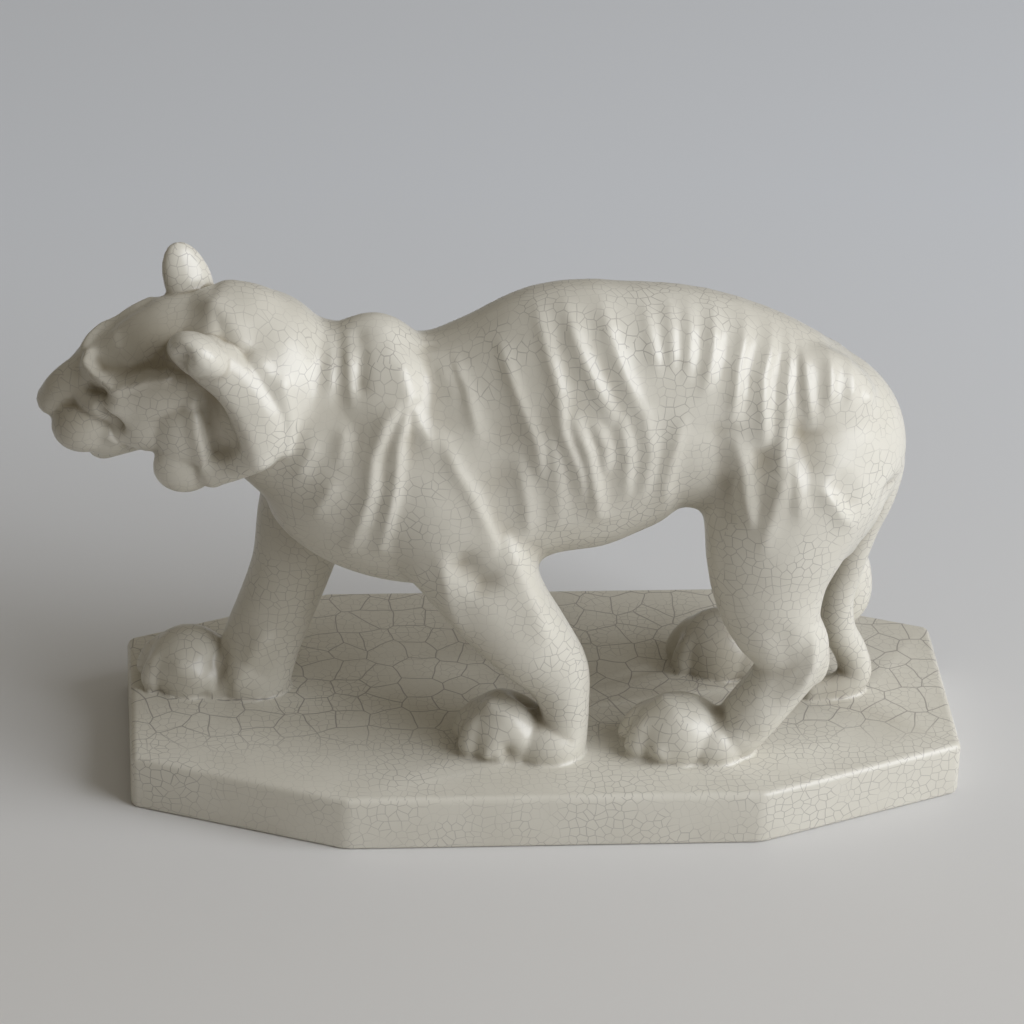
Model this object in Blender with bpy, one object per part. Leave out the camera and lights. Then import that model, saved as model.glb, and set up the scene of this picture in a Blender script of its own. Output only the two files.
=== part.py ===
# Walking tiger on an eight-sided base: one casting in crackle-glazed earthenware, its inside filled here.
# Metres, +Z up. The origin is the centre of the base's underside, the head is towards -X.
import math

import bmesh
import bpy
import numpy as np
from mathutils import Matrix, Vector

# The base: a long rectangle with its four corners cut off
BASE_LENGTH = 0.340
BASE_WIDTH = 0.163
BASE_SIDE_STRAIGHT = 0.169
BASE_END_STRAIGHT = 0.094
BASE_HEIGHT = 0.0237
BASE_EDGE_ROUND = 0.0030
BASE_EDGE_SEGMENTS = 4
BASE_FOOT_ROUND = 0.0015
BASE_FOOT_SEGMENTS = 2

# The tiger's place on the base, and how its head is carried
TIGER_SHIFT_Y = -0.019
HEAD_X = -0.158
HEAD_HEIGHT = 0.164
HEAD_PITCH = math.radians(20)
HEAD_ROLL = math.radians(20)

# How finely the form is worked out, and how softly the glaze rounds it
STATION_STEPS = 6
LIMB_SIDES = 24
LIMB_END = 0.98
MASS_VOXEL = 0.0024
MASS_SMOOTHING = 8
FORM_VOXEL = 0.0015
FORM_SMOOTHING = 4
SMOOTHING_SHARE = 0.5
GLAZE_FLOW = 1
FORM_TRIANGLES = 11400
SHARP_ANGLE = math.radians(50)

# A slab just under the base's top, so that the glaze rounds the feet into it
SLAB_BELOW_TOP = 0.0004
SLAB_DEPTH = 0.006
SLAB_INSET = 0.006

# How much of the flanks' relief is left along the top of the back, and of the face's on its far side
TOP_RELIEF = 0.12
FAR_RELIEF = 0.4
# Share of each stripe's height that stands in a narrow crest, and the crest's share of its width
CREST_SHARE = 0.3
CREST_WIDTH = 0.5
# How far each stripe sinks at its ends, and over what share of its length
TAPER = 0.5
TAPER_LENGTH = 0.2
# How fast the flanks' relief fades in as the near and the far side turn outwards
NEAR_FADE = 1.6
FAR_FADE = 2.5

# Stations of the limbs and the trunk: x, y from the tiger's middle, height over the base's top,
# then the half thickness seen from the side and the half thickness seen from the front
TRUNK = (
    (-0.128, 0.000, 0.154, 0.031, 0.026),
    (-0.112, 0.000, 0.150, 0.036, 0.030),
    (-0.095, 0.000, 0.142, 0.041, 0.033),
    (-0.078, 0.000, 0.131, 0.051, 0.037),
    (-0.058, 0.000, 0.123, 0.054, 0.039),
    (-0.038, 0.000, 0.123, 0.054, 0.039),
    (-0.018, 0.000, 0.132, 0.054, 0.040),
    (0.004, 0.000, 0.140, 0.058, 0.040),
    (0.026, 0.000, 0.1455, 0.0545, 0.039),
    (0.048, 0.000, 0.149, 0.047, 0.037),
    (0.070, 0.000, 0.1435, 0.0445, 0.036),
    (0.088, 0.000, 0.135, 0.043, 0.035),
)
NEAR_FORELEG = (
    (-0.074, -0.011, 0.157, 0.026, 0.018),
    (-0.052, -0.019, 0.126, 0.031, 0.021),
    (-0.038, -0.024, 0.098, 0.027, 0.019),
    (-0.024, -0.027, 0.072, 0.021, 0.016),
    (-0.010, -0.028, 0.053, 0.018, 0.015),
    (0.001, -0.027, 0.038, 0.0145, 0.013),
    (0.005, -0.026, 0.022, 0.0110, 0.012),
    (0.004, -0.025, 0.004, 0.0120, 0.013),
)
FAR_FORELEG = (
    (-0.078, 0.014, 0.150, 0.026, 0.018),
    (-0.090, 0.020, 0.115, 0.024, 0.018),
    (-0.098, 0.023, 0.085, 0.020, 0.017),
    (-0.103, 0.025, 0.060, 0.017, 0.015),
    (-0.109, 0.026, 0.040, 0.0165, 0.014),
    (-0.115, 0.027, 0.022, 0.0165, 0.014),
    (-0.119, 0.028, 0.004, 0.0165, 0.015),
)
NEAR_HIND_LEG = (
    (0.096, -0.012, 0.145, 0.033, 0.020),
    (0.094, -0.019, 0.122, 0.036, 0.024),
    (0.088, -0.025, 0.098, 0.030, 0.022),
    (0.086, -0.028, 0.078, 0.024, 0.018),
    (0.090, -0.030, 0.060, 0.019, 0.015),
    (0.098, -0.030, 0.047, 0.0145, 0.012),
    (0.091, -0.029, 0.031, 0.0125, 0.012),
    (0.0765, -0.0285, 0.010, 0.0120, 0.013),
)
FAR_HIND_LEG = (
    (0.097, 0.012, 0.139, 0.032, 0.020),
    (0.102, 0.020, 0.115, 0.032, 0.022),
    (0.104, 0.027, 0.088, 0.025, 0.018),
    (0.114, 0.032, 0.062, 0.018, 0.015),
    (0.124, 0.034, 0.044, 0.015, 0.012),
    (0.125, 0.035, 0.032, 0.012, 0.011),
    (0.106, 0.037, 0.019, 0.012, 0.012),
    (0.088, 0.038, 0.010, 0.012, 0.013),
)
TAIL = (
    (0.120, 0.002, 0.140, 0.012, 0.012),
    (0.133, 0.005, 0.121, 0.0095, 0.010),
    (0.133, 0.008, 0.101, 0.0085, 0.0085),
    (0.128, 0.011, 0.081, 0.0075, 0.0075),
    (0.124, 0.013, 0.062, 0.007, 0.007),
    (0.121, 0.014, 0.046, 0.007, 0.007),
    (0.123, 0.016, 0.030, 0.007, 0.007),
    (0.129, 0.018, 0.017, 0.007, 0.007),
    (0.131, 0.017, 0.007, 0.007, 0.007),
    (0.124, 0.014, 0.003, 0.006, 0.006),
    (0.113, 0.012, 0.002, 0.005, 0.005),
)

# Rounded masses: x, y from the middle, height over the base's top, then three half sizes
MASSES = (
    (-0.118, 0.000, 0.157, 0.032, 0.036, 0.038),
    (-0.136, -0.002, 0.171, 0.024, 0.027, 0.024),
    (-0.127, 0.000, 0.176, 0.027, 0.024, 0.0235),
    (-0.0740, -0.001, 0.151, 0.027, 0.023, 0.036),
    (-0.094, 0.000, 0.117, 0.022, 0.024, 0.026),
    (-0.070, -0.014, 0.142, 0.026, 0.021, 0.038),
    (-0.072, 0.014, 0.138, 0.026, 0.021, 0.036),
    (0.098, -0.014, 0.120, 0.037, 0.0235, 0.044),
    (0.102, 0.014, 0.114, 0.030, 0.024, 0.038),
    (0.099, 0.000, 0.126, 0.043, 0.034, 0.044),
)

# The head in its own axes: forward, towards the far side, up, then three half sizes
SKULL = (
    (-0.006, 0.000, 0.002, 0.032, 0.027, 0.024),
    (0.014, 0.000, 0.006, 0.022, 0.022, 0.016),
    (0.004, 0.000, -0.014, 0.024, 0.022, 0.018),
)
# On each side of the head: the cheek bone, and the jowls under it
CHEEK_BONE = (0.004, 0.015, -0.010, 0.020, 0.013, 0.016)
JOWLS = (
    (-0.006, 0.024, -0.018, 0.016, 0.011, 0.020),
    (0.002, 0.028, -0.028, 0.013, 0.008, 0.014),
)
# The ruff's lower hem, which stands off the throat, from the front lobe back along the neck
NEAR_RUFF = (
    (-0.007, -0.030, -0.031, 0.0085, 0.008),
    (-0.018, -0.035, -0.026, 0.0085, 0.0085),
    (-0.030, -0.038, -0.019, 0.0095, 0.009),
    (-0.034, -0.036, -0.008, 0.0105, 0.009),
    (-0.032, -0.029, 0.004, 0.0100, 0.009),
    (-0.027, -0.024, 0.014, 0.0100, 0.009),
    (-0.023, -0.022, 0.021, 0.0090, 0.009),
)
NEAR_NECK_LOCK = (
    (-0.040, -0.023, 0.006, 0.0085, 0.008),
    (-0.042, -0.028, -0.003, 0.0100, 0.009),
    (-0.041, -0.032, -0.013, 0.0095, 0.009),
)
FAR_RUFF = (
    (-0.006, 0.026, -0.032, 0.008, 0.008),
    (-0.018, 0.028, -0.030, 0.009, 0.009),
    (-0.030, 0.026, -0.026, 0.009, 0.009),
)
# On each side of the head
MUZZLE = (
    (0.034, 0.008, -0.008, 0.014, 0.011, 0.013),
    (0.026, 0.009, -0.014, 0.014, 0.010, 0.012),
)
NOSE_BRIDGE = (
    (0.008, 0.000, 0.010, 0.014, 0.016),
    (0.024, 0.000, 0.0085, 0.011, 0.011),
    (0.036, 0.000, 0.0065, 0.0085, 0.008),
    (0.044, 0.000, 0.0025, 0.006, 0.007),
)
JAW = (
    (0.000, 0.000, -0.018, 0.016, 0.020),
    (0.018, 0.000, -0.024, 0.011, 0.014),
    (0.033, 0.000, -0.028, 0.008, 0.010),
)
# Each ear: forward, towards the far side, up, then how far it leans to the far side and turns, in degrees,
# then three half sizes
EARS = (
    (-0.0215, -0.0245, 0.0265, -32.0, -45.0, 0.0085, 0.0125, 0.0145),
    (-0.0215, 0.0240, 0.0157, 30.0, 62.0, 0.0055, 0.0100, 0.0175),
)
# The rim in front of the near ear's hollow
EAR_RIM = (-0.013, -0.015, 0.021, 0.005, 0.005, 0.006)

# Carved relief on both flanks: height, half width, then points of x and height over the base's top
FLANK_RELIEF = (
    (0.0020, 0.0062, (-0.072, 0.186), (-0.064, 0.177), (-0.061, 0.165), (-0.065, 0.158)),
    (0.0024, 0.0043, (-0.061, 0.167), (-0.070, 0.157), (-0.075, 0.142), (-0.076, 0.127), (-0.083, 0.099)),
    (0.0022, 0.0037, (-0.061, 0.165), (-0.065, 0.148), (-0.066, 0.132), (-0.071, 0.101)),
    (0.0020, 0.0073, (-0.059, 0.180), (-0.051, 0.176), (-0.044, 0.167)),
    (0.0015, 0.0043, (-0.060, 0.164), (-0.057, 0.155), (-0.052, 0.146)),
    (-0.0028, 0.0134, (-0.024, 0.152), (-0.023, 0.135)),
    (0.0013, 0.0037, (-0.044, 0.177), (-0.038, 0.167), (-0.034, 0.152)),
    (0.0016, 0.0037, (-0.024, 0.182), (-0.019, 0.168), (-0.011, 0.149), (-0.009, 0.138)),
    (0.0020, 0.0040, (-0.010, 0.194), (-0.003, 0.171), (-0.001, 0.155), (0.006, 0.138), (0.009, 0.125)),
    (0.0020, 0.0043, (0.001, 0.196), (0.005, 0.185), (0.010, 0.175), (0.018, 0.161)),
    (0.0018, 0.0043, (0.015, 0.198), (0.018, 0.187), (0.023, 0.175), (0.031, 0.160)),
    (0.0015, 0.0043, (-0.018, 0.140), (-0.014, 0.122), (-0.013, 0.108)),
    (0.0010, 0.0043, (-0.005, 0.151), (-0.002, 0.132), (-0.001, 0.112)),
    (0.0024, 0.0043, (0.004, 0.158), (0.009, 0.146), (0.012, 0.132), (0.015, 0.115)),
    (0.0015, 0.0037, (0.012, 0.157), (0.016, 0.148), (0.016, 0.138)),
    (0.0015, 0.0037, (0.022, 0.158), (0.025, 0.143), (0.025, 0.126)),
    (0.0013, 0.0037, (0.032, 0.197), (0.034, 0.186), (0.036, 0.178)),
    (0.0013, 0.0037, (0.042, 0.197), (0.042, 0.178)),
    (0.0013, 0.0037, (0.050, 0.196), (0.048, 0.176)),
    (0.0018, 0.0037, (0.060, 0.195), (0.058, 0.182), (0.055, 0.171)),
    (0.0020, 0.0037, (0.073, 0.191), (0.068, 0.176), (0.066, 0.158)),
    (0.0022, 0.0039, (0.084, 0.186), (0.078, 0.172), (0.078, 0.162), (0.079, 0.148)),
    (0.0018, 0.0034, (0.091, 0.183), (0.088, 0.168), (0.087, 0.152), (0.086, 0.136)),
    (0.0016, 0.0031, (0.095, 0.180), (0.096, 0.166), (0.098, 0.153)),
    (0.0016, 0.0031, (0.106, 0.177), (0.105, 0.160)),
    (0.0014, 0.0031, (0.115, 0.173), (0.114, 0.160)),
    (0.0014, 0.0031, (0.124, 0.168), (0.123, 0.156)),
    (0.0014, 0.0043, (0.022, 0.173), (0.031, 0.161), (0.034, 0.146)),
    (0.0014, 0.0043, (0.032, 0.157), (0.034, 0.144), (0.032, 0.125)),
    (0.0016, 0.0043, (0.046, 0.157), (0.043, 0.143), (0.041, 0.130), (0.042, 0.114)),
    (0.0018, 0.0043, (0.067, 0.149), (0.071, 0.136), (0.072, 0.126), (0.075, 0.115)),
    (-0.0020, 0.0073, (0.062, 0.150), (0.063, 0.136), (0.064, 0.115)),
    (-0.0012, 0.0055, (0.079, 0.141), (0.080, 0.120)),
    (0.0018, 0.0049, (0.088, 0.134), (0.084, 0.124), (0.080, 0.106)),
    (0.0013, 0.0037, (0.092, 0.136), (0.094, 0.119)),
    (0.0020, 0.0043, (0.103, 0.128), (0.109, 0.120), (0.115, 0.111)),
    (-0.0016, 0.0061, (0.095, 0.149), (0.098, 0.138)),
    (-0.0014, 0.0049, (0.111, 0.128), (0.115, 0.122)),
    (0.0016, 0.0037, (-0.090, 0.182), (-0.092, 0.166)),
    (0.0014, 0.0031, (-0.084, 0.182), (-0.083, 0.162)),
    (-0.0014, 0.0031, (-0.079, 0.182), (-0.080, 0.170)),
    (0.0016, 0.0043, (-0.098, 0.148), (-0.104, 0.131)),
    (0.0016, 0.0043, (-0.090, 0.131), (-0.097, 0.115)),
    (0.0013, 0.0037, (-0.086, 0.153), (-0.088, 0.140)),
)
# The same for the near legs, on the near side only
NEAR_LEG_RELIEF = (
    (0.0022, 0.0051, (-0.047, 0.148), (-0.042, 0.137), (-0.036, 0.127), (-0.026, 0.104)),
    (0.0028, 0.0061, (-0.021, 0.104), (-0.017, 0.092), (-0.012, 0.080), (-0.005, 0.064)),
    (-0.0034, 0.0070, (-0.0375, 0.096), (-0.0310, 0.089)),
    (0.0014, 0.0043, (-0.047, 0.099), (-0.044, 0.080), (-0.038, 0.062)),
    (-0.0013, 0.0060, (0.090, 0.062), (0.094, 0.047), (0.089, 0.032)),
    (0.0018, 0.0034, (0.103, 0.062), (0.1035, 0.046), (0.099, 0.036)),
    (-0.0030, 0.0036, (0.1335, 0.117), (0.1290, 0.101), (0.1255, 0.090)),
)
# Relief on the feet: height, half width, then points of x and y from the tiger's middle and height over
# the base's top
FOOT_RELIEF = (
    # The near forepaw's knuckle ridge, the thin toe in front of it, the cleft between them, and the dip
    # before the wrist
    (0.0024, 0.0034, (-0.0248, -0.0270, 0.022), (-0.0188, -0.0307, 0.018), (-0.0128, -0.0342, 0.011)),
    (0.0016, 0.0020, (-0.0222, -0.0335, 0.013), (-0.0265, -0.0363, 0.004)),
    (-0.0028, 0.0032, (-0.0192, -0.0352, 0.010), (-0.0171, -0.0403, 0.004)),
    (-0.0050, 0.0060, (-0.0100, -0.0190, 0.022), (-0.0060, -0.0240, 0.016)),
    # The near hind paw's ridge and toe, and the dip in front of the long bone of the foot
    (0.0016, 0.0040, (0.0463, -0.0252, 0.022), (0.0501, -0.0327, 0.019), (0.0542, -0.0369, 0.011)),
    (0.0016, 0.0030, (0.0430, -0.0400, 0.007), (0.0445, -0.0400, 0.005)),
    (-0.0022, 0.0050, (0.0640, -0.0240, 0.021), (0.0720, -0.0330, 0.017), (0.0790, -0.0370, 0.013)),
    # The far foreleg's ridge down to its heel, the furrow before the paw, and the paw's knuckles
    (0.0024, 0.0045, (-0.1157, 0.0128, 0.030), (-0.1227, 0.0090, 0.018), (-0.1290, 0.0084, 0.006)),
    (-0.0034, 0.0036, (-0.1335, 0.0200, 0.024), (-0.1330, 0.0150, 0.014), (-0.1337, 0.0110, 0.004)),
    (0.0020, 0.0045, (-0.1491, 0.0145, 0.016), (-0.1400, 0.0110, 0.010)),
)
# Relief on each side of the head, in the head's own axes
HEAD_RELIEF = (
    # The lid's edge, down to the eye's inner corner and back along the lower lid
    (0.0030, 0.0022, (0.022, 0.001, 0.022), (0.024, 0.004, 0.020), (0.021, 0.011, 0.018),
     (0.016, 0.018, 0.015), (0.009, 0.018, 0.015), (0.001, 0.020, 0.017), (-0.005, 0.021, 0.016)),
    # The socket above it
    (-0.0034, 0.0055, (0.018, 0.009, 0.023), (0.009, 0.014, 0.022), (-0.002, 0.016, 0.022)),
    # The pit between the eye's corner and the nose
    (-0.0070, 0.0045, (0.027, 0.013, 0.014), (0.023, 0.016, 0.013)),
    # The crease behind the whisker pad, and the corner of the mouth
    (-0.0038, 0.0024, (0.025, 0.017, 0.010), (0.023, 0.019, 0.003), (0.021, 0.021, -0.003)),
    (0.0028, 0.0030, (0.026, 0.018, -0.008), (0.024, 0.020, -0.011)),
    # The crest from ear to ear down the side of the neck
    (0.0022, 0.0050, (-0.027, 0.012, 0.020), (-0.031, 0.001, 0.022), (-0.035, 0.009, 0.020),
     (-0.037, 0.016, 0.017)),
    # The front lock of the ruff, the furrow behind it, the broad lock from the ear down, and the last lock
    (0.0034, 0.0030, (-0.012, 0.027, 0.004), (-0.009, 0.032, -0.006), (-0.007, 0.035, -0.020),
     (-0.007, 0.034, -0.033)),
    (-0.0025, 0.0056, (-0.017, 0.030, 0.004), (-0.017, 0.037, -0.010), (-0.015, 0.040, -0.023)),
    (0.0020, 0.0045, (-0.021, 0.014, 0.023), (-0.024, 0.025, 0.016), (-0.027, 0.036, 0.006),
     (-0.029, 0.043, -0.006), (-0.028, 0.045, -0.020)),
    (0.0020, 0.0035, (-0.047, 0.031, 0.002), (-0.044, 0.038, -0.011), (-0.039, 0.042, -0.022)),
)
# The near ear's hollow, in the head's own axes
EAR_HOLLOW = (-0.0040, 0.0036, (-0.017, -0.034, 0.038), (-0.015, -0.028, 0.028))

# Paws: x and y of the middle of the foot, then scales for its length and its height
PAWS = (
    (-0.0175, -0.0225, 1.00, 1.02),
    (-0.1450, 0.0310, 1.00, 1.02),
    (0.0530, -0.0260, 1.14, 0.98),
    (0.0770, 0.0380, 1.04, 1.04),
)
# One paw round its middle: forward, near side, height, then three half sizes
PAW_MASSES = (
    (0.000, 0.000, 0.008, 0.0175, 0.0168, 0.0160),
    (-0.012, 0.002, 0.006, 0.0130, 0.0150, 0.0120),
)
# Its toes from the knuckle to the tip: forward, near side, height, then two half thicknesses
TOES = (
    ((0.002, -0.0105, 0.0140, 0.0046, 0.0046), (0.010, -0.0120, 0.0095, 0.0052, 0.0052),
     (0.013, -0.0125, 0.0045, 0.0052, 0.0052)),
    ((0.004, -0.0038, 0.0172, 0.0046, 0.0046), (0.0130, -0.0043, 0.0120, 0.0052, 0.0052),
     (0.0165, -0.0045, 0.0050, 0.0054, 0.0054)),
    ((0.004, 0.0038, 0.0172, 0.0046, 0.0046), (0.0120, 0.0052, 0.0120, 0.0052, 0.0052),
     (0.0150, 0.0060, 0.0050, 0.0054, 0.0054)),
)
# Smaller rounded forms of the legs: the near forepaw's heel, the near hock, the far heel and the far hock
LEG_KNOBS = (
    (-0.001, -0.0280, 0.006, 0.0150, 0.0130, 0.0120),
    (0.1065, -0.0290, 0.043, 0.0060, 0.0060, 0.0120),
    (-0.121, 0.0240, 0.008, 0.0150, 0.0120, 0.0150),
    (0.1290, 0.0350, 0.040, 0.0075, 0.0070, 0.0080),
)

GLAZE_CREAM = (0.72, 0.69, 0.61, 1.0)
GLAZE_ROUGHNESS = 0.25


def clear_scene():
    for old in list(bpy.data.objects):
        bpy.data.objects.remove(old, do_unlink=True)


def new_object(name, bm):
    mesh = bpy.data.meshes.new(name)
    bm.to_mesh(mesh)
    bm.free()
    obj = bpy.data.objects.new(name, mesh)
    bpy.context.scene.collection.objects.link(obj)
    return obj


def on_tiger(x, y, z):
    """A place given from the tiger's middle and the base's top, in the object's frame."""
    return Vector((x, y + TIGER_SHIFT_Y, z + BASE_HEIGHT))


def head_axes():
    """The head's own axes, with its nose dipped and its crown leaning to the near side."""
    forward = Vector((-math.cos(HEAD_PITCH), 0.0, -math.sin(HEAD_PITCH)))
    plain_up = Vector((-math.sin(HEAD_PITCH), 0.0, math.cos(HEAD_PITCH)))
    near = Vector((0.0, -1.0, 0.0))
    up = plain_up * math.cos(HEAD_ROLL) + near * math.sin(HEAD_ROLL)
    far = -near * math.cos(HEAD_ROLL) + plain_up * math.sin(HEAD_ROLL)
    turn = Matrix((forward, far, up)).transposed().to_4x4()
    return Matrix.Translation(on_tiger(HEAD_X, 0.0, HEAD_HEIGHT)) @ turn


def ball(bm, mass, turn):
    """An oval ball from its middle and its three half sizes."""
    place = turn @ Matrix.Translation(mass[:3]) @ Matrix.Diagonal((*mass[3:], 1.0))
    bmesh.ops.create_icosphere(bm, subdivisions=4, radius=1.0, matrix=place)


def smooth_stations(stations):
    """Catmull-Rom points through the stations."""
    points = [np.array(station) for station in stations]
    points = [2 * points[0] - points[1]] + points + [2 * points[-1] - points[-2]]
    line = []
    for a, b, c, d in zip(points, points[1:], points[2:], points[3:]):
        for step in range(STATION_STEPS):
            t = step / STATION_STEPS
            line.append(0.5 * (2 * b + (c - a) * t + (2 * a - 5 * b + 4 * c - d) * t ** 2
                               + (3 * b - a - 3 * c + d) * t ** 3))
    line.append(points[-2])
    return line


def limb(bm, stations, turn):
    """A closed tube of oval rings through the stations, with rounded ends."""
    line = smooth_stations(stations)
    rings = []
    for index, point in enumerate(line):
        before = line[max(index - 1, 0)]
        after = line[min(index + 1, len(line) - 1)]
        along = Vector(after[:3] - before[:3]).normalized()
        across = Vector((0.0, 1.0, 0.0))
        across = (across - along * across.dot(along)).normalized()
        outward = along.cross(across)
        ring = []
        for side in range(LIMB_SIDES):
            angle = 2 * math.pi * side / LIMB_SIDES
            spot = Vector(point[:3]) + outward * (point[3] * math.cos(angle))
            spot += across * (point[4] * math.sin(angle))
            ring.append(bm.verts.new(turn @ spot))
        rings.append(ring)
    for one, two in zip(rings, rings[1:]):
        for side in range(LIMB_SIDES):
            following = (side + 1) % LIMB_SIDES
            bm.faces.new((one[side], one[following], two[following], two[side]))
    bm.faces.new(list(reversed(rings[0])))
    bm.faces.new(rings[-1])
    for x, y, z, seen_side, seen_front in (stations[0], stations[-1]):
        end = LIMB_END * seen_side
        ball(bm, (x, y, z, end, LIMB_END * seen_front, end), turn)


def remesh(obj, voxel, smoothing):
    """Runs the overlapping closed shapes into one skin and rounds it."""
    shell = obj.modifiers.new("one skin", 'REMESH')
    shell.mode = 'VOXEL'
    shell.voxel_size = voxel
    return soften(obj, smoothing)


def soften(obj, steps):
    soft = obj.modifiers.new("glaze rounding", 'SMOOTH')
    soft.factor = SMOOTHING_SHARE
    soft.iterations = steps
    return apply_modifiers(obj)


def apply_modifiers(obj):
    graph = bpy.context.evaluated_depsgraph_get()
    mesh = bpy.data.meshes.new_from_object(obj.evaluated_get(graph))
    obj.modifiers.clear()
    obj.data = mesh
    return obj


def base_outline(inset=0.0):
    half_length = BASE_LENGTH / 2 - inset
    half_width = BASE_WIDTH / 2 - inset
    side = BASE_SIDE_STRAIGHT / 2
    end = BASE_END_STRAIGHT / 2
    return ((-half_length, -end), (-side, -half_width), (side, -half_width), (half_length, -end),
            (half_length, end), (side, half_width), (-side, half_width), (-half_length, end))


def prism(bm, outline, low, high):
    floor = [bm.verts.new((x, y, low)) for x, y in outline]
    roof = [bm.verts.new((x, y, high)) for x, y in outline]
    bm.faces.new(list(reversed(floor)))
    bm.faces.new(roof)
    for index in range(len(outline)):
        following = (index + 1) % len(outline)
        bm.faces.new((floor[index], floor[following], roof[following], roof[index]))


def build_base():
    bm = bmesh.new()
    middle = BASE_HEIGHT / 2
    prism(bm, base_outline(), 0.0, BASE_HEIGHT)
    upper = [e for e in bm.edges if all(v.co.z > middle for v in e.verts)]
    upright = [e for e in bm.edges if abs(e.verts[0].co.z - e.verts[1].co.z) > middle]
    bmesh.ops.bevel(bm, geom=upper + upright, offset=BASE_EDGE_ROUND, offset_type='OFFSET',
                    segments=BASE_EDGE_SEGMENTS, profile=0.5, affect='EDGES', clamp_overlap=True)
    lower = [e for e in bm.edges if all(v.co.z < 1e-6 for v in e.verts)
             and any(f.normal.z > -0.5 for f in e.link_faces)]
    bmesh.ops.bevel(bm, geom=lower, offset=BASE_FOOT_ROUND, offset_type='OFFSET',
                    segments=BASE_FOOT_SEGMENTS, profile=0.5, affect='EDGES', clamp_overlap=True)
    return new_object("base", bm)


def both_sides(mass):
    forward, side, up, *radii = mass
    return ((forward, -side, up, *radii), (forward, side, up, *radii))


def build_masses():
    bm = bmesh.new()
    lift = Matrix.Translation(on_tiger(0.0, 0.0, 0.0))
    for stations in (TRUNK, NEAR_FORELEG, FAR_FORELEG, NEAR_HIND_LEG, FAR_HIND_LEG):
        limb(bm, stations, lift)
    for mass in MASSES:
        ball(bm, mass, lift)
    head = head_axes()
    for mass in (*SKULL, *both_sides(CHEEK_BONE)):
        ball(bm, mass, head)
    return remesh(new_object("masses", bm), MASS_VOXEL, MASS_SMOOTHING)


def build_feet(bm, lift):
    for knob in LEG_KNOBS:
        ball(bm, knob, lift)
    for x, y, length, height in PAWS:
        foot = lift @ Matrix.Translation((x, y, 0.0)) @ Matrix.Diagonal((-length, -1.0, height, 1.0))
        for mass in PAW_MASSES:
            ball(bm, mass, foot)
        for toe in TOES:
            limb(bm, toe, foot)


def build_face(bm, head):
    for stations in (NOSE_BRIDGE, JAW, NEAR_RUFF, NEAR_NECK_LOCK, FAR_RUFF):
        limb(bm, stations, head)
    for pair in (*MUZZLE, *JOWLS):
        for mass in both_sides(pair):
            ball(bm, mass, head)
    ball(bm, EAR_RIM, head)
    for forward, side, up, splay, twist, *radii in EARS:
        foot = Matrix.Translation((forward, side, up))
        lean = Matrix.Rotation(-math.radians(splay), 4, 'X')
        turn = Matrix.Rotation(math.radians(twist), 4, 'Z')
        ball(bm, (0.0, 0.0, 0.0, *radii), head @ foot @ lean @ turn)


def distance_to_line(points, line):
    """Each point's shortest distance to a line of straight runs, and how far along it that is, from 0 to 1."""
    nearest = np.full(len(points), np.inf)
    along = np.zeros(len(points))
    for index, (start, end) in enumerate(zip(line, line[1:])):
        run = end - start
        share = np.clip((points - start) @ run / (run @ run), 0.0, 1.0)
        away = np.linalg.norm(points - start - share[:, None] * run, axis=1)
        along = np.where(away < nearest, (index + share) / (len(line) - 1), along)
        nearest = np.minimum(nearest, away)
    return nearest, along


def relief(points, marks, crest=0.0, taper=0.0):
    """The height of ridges and grooves at each point. Where ridges meet they don't pile up."""
    ridge = np.zeros(len(points))
    groove = np.zeros(len(points))
    for height, width, *line in marks:
        away, along = distance_to_line(points, [np.array(p) for p in line])
        away /= width
        if height > 0:
            end = 1.0 - taper * np.clip(1.0 - np.minimum(along, 1.0 - along) / TAPER_LENGTH, 0.0, 1.0)
            form = (1.0 - crest) * np.exp(-away ** 2) + crest * np.exp(-(away / CREST_WIDTH) ** 2)
            ridge = np.maximum(ridge, height * end * form)
        else:
            groove = np.minimum(groove, height * np.exp(-away ** 2))
    return ridge + groove


def read_vectors(collection, name, count):
    values = np.empty(count * 3, dtype=np.float32)
    collection.foreach_get(name, values)
    return values.reshape(-1, 3).astype(float)


def carve_relief(obj):
    mesh = obj.data
    count = len(mesh.vertices)
    place = read_vectors(mesh.vertices, "co", count)
    normal = read_vectors(mesh.vertex_normals, "vector", count)
    on_body = place - np.array(on_tiger(0.0, 0.0, 0.0))
    flank = on_body[:, (0, 2)]
    near = np.clip(-NEAR_FADE * normal[:, 1], 0.0, 1.0)
    far = np.clip(1.0 - FAR_FADE * (1.0 - normal[:, 1]), 0.0, 1.0)
    facing = np.maximum(near + far, TOP_RELIEF * np.clip(normal[:, 2], 0.0, 1.0))
    lift = facing * relief(flank, FLANK_RELIEF, CREST_SHARE, TAPER)
    lift += facing * (on_body[:, 1] < 0) * relief(flank, NEAR_LEG_RELIEF, CREST_SHARE, TAPER)
    lift += relief(on_body, FOOT_RELIEF)
    to_head = np.array(head_axes().inverted())
    in_head = place @ to_head[:3, :3].T + to_head[:3, 3]
    for side, share in ((-1.0, 1.0), (1.0, FAR_RELIEF)):
        lift += share * relief(in_head * (1.0, side, 1.0), HEAD_RELIEF)
    lift += relief(in_head, (EAR_HOLLOW,))
    place += normal * lift[:, None]
    mesh.vertices.foreach_set("co", place.ravel().astype(np.float32))
    mesh.update()


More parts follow.
